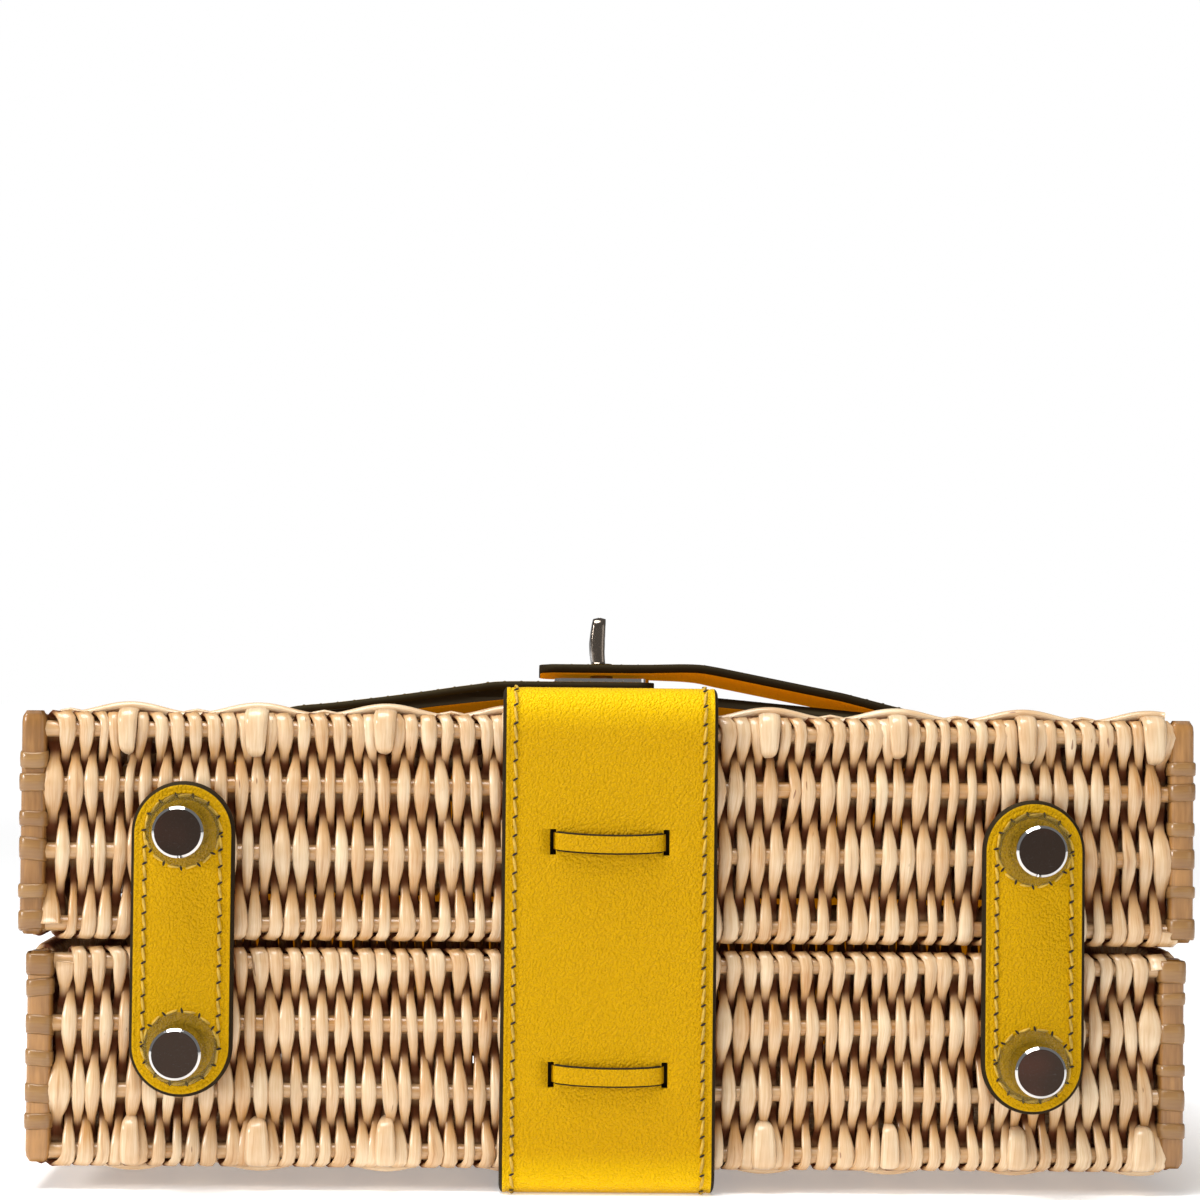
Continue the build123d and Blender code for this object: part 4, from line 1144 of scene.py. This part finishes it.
STACK_THICKNESS = 1.7  # of the flap's and the straps' leather
FLAP_BEND = 5.0  # radius of its bend over the top edge
FLAP_SHOULDER = 14.0  # the flap has its full width from here, this far in front of the top end
FLAP_NARROWER = 18.0  # how much less its half width is at the lower edge
FLAP_CLEAR = 10.0  # from the flap's corners to its rows of stitches
FLAP_TOP = 6.2  # above the front face, over the turn lock
# how far the flap's lower edge has sunk from FLAP_TOP towards the weave, for places across the bag
FLAP_SINK = np.array(
    [(-90, 5.3), (-60, 5.2), (-55, 5.0), (-37, 2.7), (-22, 0.35), (-14, 0), (4, 0), (24, 1.7), (43, 3.4),
     (60, 5.0), (66, 5.2), (90, 5.3)], float,
)
# how much of that sink is left, for distances from the flap's lower edge
FLAP_FADE = np.array([(40, 1), (50, 0.86), (58, 0.56), (66, 0.34), (78, 0.14), (92, 0.04), (104, 0)], float)
SLIT_X, SLIT_WIDTH, SLIT_LENGTH = 60.5, 5.2, 14.8  # the slit that a strap goes down through


def flap_sink(x):
    """FLAP_SINK read at x, as the mean of five readings up to 5 mm to each side."""
    x = np.asarray(x, float)
    return sum(np.interp(x + d, *FLAP_SINK.T) for d in (-5, -2.5, 0, 2.5, 5)) / 5


def make_flap(scene):
    """The flap: up the front face, round the top edge and down over the top end. Its lower edge
    rides over the turn lock in the middle and sinks onto the weave towards both sides."""
    hide = scene.bag_leather
    low_y, outer = FLAP_LOW[1], FLAP_HIGH[1]
    corners = [(y, front_height(y, FLAP_TOP)) for y in (low_y, outer)] + [(outer, FLAP_LOW[2])]
    line = in_middle_plane(rounded_line(corners, [FLAP_BEND]))
    total = length_of(line)
    shoulder = (TOP_Y - FLAP_SHOULDER - low_y) / math.cos(SLOPE)

    def widths(s):
        return FLAP_HIGH[0] - FLAP_NARROWER * (1 - np.clip(s / shoulder, 0, 1))

    def lift(x, s):
        # the sides follow the weave over the lower part and leave it slowly further up
        return -flap_sink(x) * np.interp(s, *FLAP_FADE.T)

    slit_s = LOCK_FOOT[1] - low_y
    slit_ends = (slit_s - SLIT_LENGTH / 2, slit_s + SLIT_LENGTH / 2)
    slits = [((sx * SLIT_X - SLIT_WIDTH / 2, sx * SLIT_X + SLIT_WIDTH / 2), slit_ends) for sx in (-1, 1)]
    stations = stations_at(np.arange(0, total, 1.6), [total], both_sides(slit_ends))
    lines = [*np.linspace(-66, 66, 67), *both_sides(x for x_range, _ in slits for x in x_range)]

    def relief(x, s):
        # painted shade: the bottom of each pressed-in slit gets the dark edge colour, standing for the shade
        # in the open cut
        dark = np.clip(sum(box_mask(x, s, *slit) for slit in slits), 0, 1)
        return dark * SLIT_DEPTH + groove(widths(s) - np.abs(x) - 1.35, 0.12, 0.2), dark

    mesh = strip(
        "flap_leather", line, X, rounded_end(widths, total, CORNER_RADIUS), STACK_THICKNESS,
        hide.edge_width, stations, lines, relief, lift, stretch_and_highlight=0.6,
    )
    show(mesh, "leather", "front_half", "flap")

    def on_flap(x, s):
        base, later = at_distance(line, s), at_distance(line, s + 0.2)
        out = unit(np.cross(X, unit(later - base)))
        return base + x[:, None] * X + lift(x, s)[:, None] * out, out

    def sew(row, x_of, s, x_step):
        places, out = on_flap(x_of(s), s)
        later, _ = on_flap(x_of(s + 0.2) + x_step, s + (0.0 if x_step else 0.2))
        stitch_row(row, places, unit(later - places), out, "front_half", hide.stitch_pitch, rise=0.0)

    count = int((total - 2 * FLAP_CLEAR) / hide.stitch_pitch)
    for hand, sx in HANDS:
        s = FLAP_CLEAR + (np.arange(count) + 0.5) * hide.stitch_pitch
        sew(f"flap_{hand}", lambda d, sx=sx: sx * (widths(d) - hide.stitch_inset), s, 0.0)
    for end, s in (("low", hide.stitch_inset), ("rear", total - hide.stitch_inset)):
        xs = centred(int(2 * (widths(s) - FLAP_CLEAR - 1) / hide.stitch_pitch), hide.stitch_pitch)
        sew(f"flap_{end}", lambda d, xs=xs: xs, s + 0 * xs, 0.2)
    for hand, _ in HANDS:
        node = f"flap_lace_{hand}"
        low, high = node_box(node)
        x, y = (low[:2] + high[:2]) / 2
        height = front_height(y, FLAP_TOP) + lift(x, (y - low_y) / math.cos(SLOPE))
        make_lace(node, (x, y, height), FACE_UP, FACE_OUT, (high[0] - low[0]) / 2, 1.7, "front_half")


STRAP_HALF = 7.0  # half width
STRAP_SLOT = (2.6, 7.3)  # half width and half length of the slot that the blade stands in
STRAP_CORNER = 3.0  # radius of a strap's corners
STRAP_INSET = 1.7  # from a strap's edge to its stitches
STRAP_FLAT = {"left": (7.9, 10.0, 20.0), "right": (11.0, 12.0, 18.0)}  # height, tip, end of the level part
# how far the upper strap leans back, in degrees, for places from the lock's middle
STRAP_LEAN = np.array([(8.0, 2.2), (22.0, 6.0), (46.0, 6.0), (58.0, 0.0)])


def make_straps(scene):
    """The closing straps: each lies over the turn lock at its tip, comes down to the flap and goes
    through a slit in it. The right one lies on top."""
    hide, half = scene.bag_leather, STRAP_HALF
    for hand, sx in HANDS:
        top, tip, flat = STRAP_FLAT[hand]
        x = np.concatenate([[-tip, flat * 0.5, flat], np.arange(flat + 4, 58, 2.0)])
        rest = FLAP_TOP - flap_sink(sx * x) + 0.08 + STACK_THICKNESS  # lying on the flap
        if hand == "right":
            falling = np.maximum(rest, np.interp(x, [flat, 57.0], [top, rest[-1]]))
        else:
            falling = np.minimum(rest, top)
        heights = np.where(x <= flat, top, falling)
        # the last two points are in the slit and under the flap
        points = np.array([*zip(x, heights), (SLIT_X - 0.3, rest[-1] - 0.5), (SLIT_X + 1.8, rest[-1] - 3.6)])
        # the line's corners are cut twice, at a quarter of each run
        for _ in range(2):
            a, b = points[:-1], points[1:]
            cut = np.stack([0.75 * a + 0.25 * b, 0.25 * a + 0.75 * b], 1).reshape(-1, 2)
            points = np.concatenate([points[:1], cut, points[-1:]])
        line = LOCK_FOOT + sx * points[:, :1] * X + points[:, 1:] * FACE_OUT
        side, total, run = FACE_UP * -sx, length_of(line), run_along(line)
        lean = np.radians(np.interp(points[:, 0], *STRAP_LEAN.T)) * (hand == "right")

        def widths(s):
            gap = np.clip(STRAP_CORNER - s, 0, STRAP_CORNER)
            return half - (STRAP_CORNER - np.sqrt(np.clip(STRAP_CORNER**2 - gap**2, 0, None)))

        def lean_back(x, s):
            return x * np.tan(np.interp(s, run, lean))

        slot = ((-STRAP_SLOT[0], STRAP_SLOT[0]), (tip - STRAP_SLOT[1], tip + STRAP_SLOT[1]))

        def relief(x, s):
            # painted shade: the bottom of the pressed-in slot gets the dark edge colour, standing for the
            # shade round the blade
            dark = box_mask(x, s, *slot)
            return dark * SLIT_DEPTH + groove(half - np.abs(x) - 1.3, 0.12, 0.2), dark

        corner = [0, 0.4, 0.9, 1.6, 2.4]
        stations = stations_at(corner, np.arange(3.2, total, 1.3), [total], both_sides(slot[1]))
        lines = both_sides(slot[0]) + [sign * (half - d) for sign in (-1, 1) for d in (1.0, 1.3, 1.6)]
        mesh = strip(
            f"strap_{hand}_leather", line, side, widths, STACK_THICKNESS, hide.edge_width, stations,
            lines, relief, lean_back,
        )
        show(mesh, "leather", "front_half", f"strap_{hand}")
        for edge, sign in (("low", -1), ("high", 1)):
            offset = sign * (half - STRAP_INSET)
            places, *row = rows_on_strip(line, side, offset, hide.stitch_pitch, 3, total - 7)
            s = 3 + (np.arange(len(places)) + 0.5) * (total - 10) / len(places)
            places = places + lean_back(offset, s)[:, None] * row[1]
            stitch_row(f"strap_{hand}_{edge}", places, *row, "front_half", hide.stitch_pitch, rise=0.0)


# ---------------------------------------------------------------- turn lock
BLADE_FOOT = 11.4  # where the stem ends and the blade begins, above the front face
BLADE_HALF, BLADE_THICK = 6.4, 1.36  # half length and half thickness of the blade


def make_knob():
    """The turn lock's blade: a plate stood on edge whose middle line sways from side to side as it
    rises, on the knob's round stem."""
    rows = np.linspace(0, 1, 25)
    top = (node_box("turn_lock_knob")[1][2] - LOCK_FOOT[2]) / FACE_OUT[2]
    heights = BLADE_FOOT + (top - BLADE_FOOT - 0.2) * rows
    sway = np.interp(rows, [0, 0.25, 0.5, 0.75, 1], [-0.65, -0.88, -0.92, -0.76, -0.54])
    corner, tip = np.clip((rows - 0.80) / 0.20, 0, 1), np.clip((rows - 0.94) / 0.06, 0, 1)
    edge = np.sqrt(np.clip(1.02 - tip**2, 0.05, 1))
    length = (BLADE_HALF - 2.2 * (1 - np.sqrt(1 - corner**2 * 0.98))) * edge**0.2
    thick = BLADE_THICK * (1 - 0.06 * np.cos(rows * 2 * np.pi)) * edge
    middle = LOCK_FOOT + sway[:, None] * X + heights[:, None] * FACE_OUT
    wide, deep = rounded(np.arange(28) * 2 * np.pi / 28, 0.25)
    points = (
        middle[:, None] + length[:, None, None] * wide[:, None] * FACE_UP
        - thick[:, None, None] * deep[:, None] * X
    )
    show(grid_mesh("knob_blade", points[:, ::-1]), "blade", "lock_knob", "turn_lock_knob")
    heights = 1.0 + (BLADE_FOOT - 0.7) * np.array([0, 0.05, 0.5, 0.95, 1.0])
    radii = np.array([2.0, 2.2, 2.2, 2.2, 2.0])
    wide, deep = rounded(np.arange(24) * 2 * np.pi / 24, 1.0)
    ring = wide[:, None] * X + deep[:, None] * FACE_UP
    points = LOCK_FOOT + heights[:, None, None] * FACE_OUT + radii[:, None, None] * ring
    show(grid_mesh("knob_stem", points), "blade", "lock_knob")


# ---------------------------------------------------------------- frame nodes
NODE_FINISH = {
    "foot": "foot", "foot_washer": "washer", "foot_nut": "steel", "band_rivets": "steel",
    "slot_plate": "polish", "turn_lock": "polish", "turn_lock_knob": "blade", "handle_eye": "polish",
    "handle_pin": "polish", "handle_mount": "polish", "handle_grip": "leather",
    "catch_patch": "leather", "catch_magnet": "steel", "catch_keeper": "steel",
}


def finish_nodes():
    """Gives every frame node that stays in sight its material: the longest matching name wins."""
    for node, piece in frame["nodes"].items():
        matches = [key for key in NODE_FINISH if node.startswith(key)]
        if matches:
            piece.data.materials.clear()
            piece.data.materials.append(FINISHES[NODE_FINISH[max(matches, key=len)]])


# ---------------------------------------------------------------- stage
LAMPS = {  # where each stands, what it is aimed at, its size and its power
    "overhead": ((-0.22, -0.24, 1.05), (0, -0.03, 0.04), 0.7, 13.0),
    "key": ((-1.15, -0.66, 0.50), (0, -0.05, 0.04), 0.32, 8.5),
    "fill": ((0.95, -0.95, 0.30), (0, -0.05, 0.04), 0.6, 1.0),
}


def place_in(scene, name, data, place, turn):
    """Puts a camera or a lamp into the scene."""
    piece = bpy.data.objects.new(name, data)
    scene.collection.objects.link(piece)
    piece.location, piece.rotation_euler = place, turn
    return piece


def make_stage(scene):
    """The camera, the lamps, a floor that glows more the further off it is, and a plain sky that
    the camera sees as white and the bag as dimmer light."""
    stage = scene.bag_stage
    camera = bpy.data.cameras.new("camera")
    camera.lens, camera.sensor_width, camera.clip_start = stage.lens, 36.0, 0.01
    turn = Euler((math.radians(90 + stage.pitch), 0, -math.radians(stage.yaw)), "XYZ").to_matrix()
    turn = turn @ Matrix.Rotation(math.radians(stage.roll), 3, "Z")
    scene.camera = place_in(scene, "camera", camera, stage.camera, turn.to_euler())
    for name, (place, aim, size, power) in LAMPS.items():
        light = bpy.data.lights.new(name, "AREA")
        light.shape, light.size, light.energy = "DISK", size, power
        towards = (Vector(aim) - Vector(place)).to_track_quat("-Z", "Y")
        place_in(scene, name, light, place, towards.to_euler())
    # the floor is a disc whose rings widen outwards from under the bag
    turn = np.linspace(0, 2 * np.pi, 64, endpoint=False)
    radii = np.array([0.0, 300.0, 900.0, 2500.0, 9000.0])[:, None]
    points = np.stack([radii * np.cos(turn), radii * np.sin(turn), 0 * radii * turn], -1)
    finish = Finish("pale floor")
    base = finish.shades(finish.noise(finish.place(), 3.0, 2.0) * 0.1, stage.floor, 0.97)
    place = finish.node("ShaderNodeVectorMath", {"operation": "LENGTH"}, {0: finish.place()})
    glow = finish.mix(Number(finish, place.outputs["Value"]).between(0.25, 2.2), (0.30,) * 3, (0.80,) * 3)
    material = finish.set(
        Base_Color=base, Roughness=0.8, Emission_Color=glow, Emission_Strength=1.0, Specular_IOR_Level=0.1,
    )
    floor = show(grid_mesh("floor", points[:, ::-1], caps=False), material)
    scene.world = bpy.data.worlds.new("studio")
    sky = Nodes(scene.world)
    seen = sky.node("ShaderNodeLightPath").outputs["Is Camera Ray"]
    level = sky.node("ShaderNodeMapRange", None, {0: seen, 3: stage.ambient, 4: 1.0})
    back = sky.node("ShaderNodeBackground", None, {"Color": (1, 1, 1), "Strength": level.outputs[0]})
    sky.node("ShaderNodeOutputWorld", None, {0: back.outputs[0]})
    scene.view_settings.view_transform = "Standard"


# ---------------------------------------------------------------- operators
class BAG_OT_finishes(bpy.types.Operator):
    """Make the materials and give the frame's own pieces theirs"""

    bl_idname, bl_label, bl_options = "basket_bag.finishes", "Finishes", {"REGISTER", "UNDO"}

    def execute(self, context):
        make_finishes(context.scene)
        finish_nodes()
        return {"FINISHED"}


class BAG_OT_back_tray(bpy.types.Operator):
    """Weave the back tray"""

    bl_idname, bl_label, bl_options = "basket_bag.back_tray", "Back tray", {"REGISTER", "UNDO"}

    def execute(self, context):
        make_tray(context.scene, "back")
        return {"FINISHED"}


class BAG_OT_front_tray(bpy.types.Operator):
    """Weave the front tray"""

    bl_idname, bl_label, bl_options = "basket_bag.front_tray", "Front tray", {"REGISTER", "UNDO"}

    def execute(self, context):
        make_tray(context.scene, "front")
        return {"FINISHED"}


class BAG_OT_band(bpy.types.Operator):
    """Cut and sew the band and lace it down"""

    bl_idname, bl_label, bl_options = "basket_bag.band", "Band", {"REGISTER", "UNDO"}

    def execute(self, context):
        make_band(context.scene)
        return {"FINISHED"}


class BAG_OT_tabs(bpy.types.Operator):
    """Cut and sew the two hinge tabs"""

    bl_idname, bl_label, bl_options = "basket_bag.tabs", "Hinge tabs", {"REGISTER", "UNDO"}

    def execute(self, context):
        make_tabs(context.scene)
        return {"FINISHED"}


class BAG_OT_flap(bpy.types.Operator):
    """Cut, sew and lace down the flap"""

    bl_idname, bl_label, bl_options = "basket_bag.flap", "Flap", {"REGISTER", "UNDO"}

    def execute(self, context):
        make_flap(context.scene)
        return {"FINISHED"}


class BAG_OT_straps(bpy.types.Operator):
    """Cut and sew the two closing straps"""

    bl_idname, bl_label, bl_options = "basket_bag.straps", "Straps", {"REGISTER", "UNDO"}

    def execute(self, context):
        make_straps(context.scene)
        return {"FINISHED"}


class BAG_OT_knob(bpy.types.Operator):
    """Forge the turn lock's blade and stem"""

    bl_idname, bl_label, bl_options = "basket_bag.knob", "Turn lock blade", {"REGISTER", "UNDO"}

    def execute(self, context):
        make_knob()
        return {"FINISHED"}


class BAG_OT_stage(bpy.types.Operator):
    """Set up the floor, the lights and the camera"""

    bl_idname, bl_label, bl_options = "basket_bag.stage", "Stage", {"REGISTER", "UNDO"}

    def execute(self, context):
        make_stage(context.scene)
        return {"FINISHED"}


OPERATORS = (
    BAG_OT_finishes, BAG_OT_back_tray, BAG_OT_front_tray, BAG_OT_band, BAG_OT_tabs, BAG_OT_flap,
    BAG_OT_straps, BAG_OT_knob, BAG_OT_stage,
)
SETTINGS = {
    "bag_wicker": WickerSettings, "bag_leather": LeatherSettings, "bag_metal": MetalSettings,
    "bag_stage": StageSettings,
}


class BAG_PT_panel(bpy.types.Panel):
    """Lists what the bag is made of"""

    bl_idname, bl_label = "BAG_PT_panel", "Basket bag"
    bl_space_type, bl_region_type, bl_category = "VIEW_3D", "UI", "Basket bag"

    def draw(self, context):
        for key, group in SETTINGS.items():
            box = self.layout.box()
            for name in group.__annotations__:
                box.prop(getattr(context.scene, key), name)
        for operator in OPERATORS:
            self.layout.operator(operator.bl_idname)


CLASSES = (*SETTINGS.values(), *OPERATORS, BAG_PT_panel)


def register():
    for cls in CLASSES:
        bpy.utils.register_class(cls)
    for key, group in SETTINGS.items():
        setattr(bpy.types.Scene, key, PointerProperty(type=group))


def unregister():
    for key in SETTINGS:
        delattr(bpy.types.Scene, key)
    for cls in reversed(CLASSES):
        bpy.utils.unregister_class(cls)


def main():
    register()
    for operator in OPERATORS:
        group, name = operator.bl_idname.split(".")
        getattr(getattr(bpy.ops, group), name)()


if __name__ == "__main__":
    main()
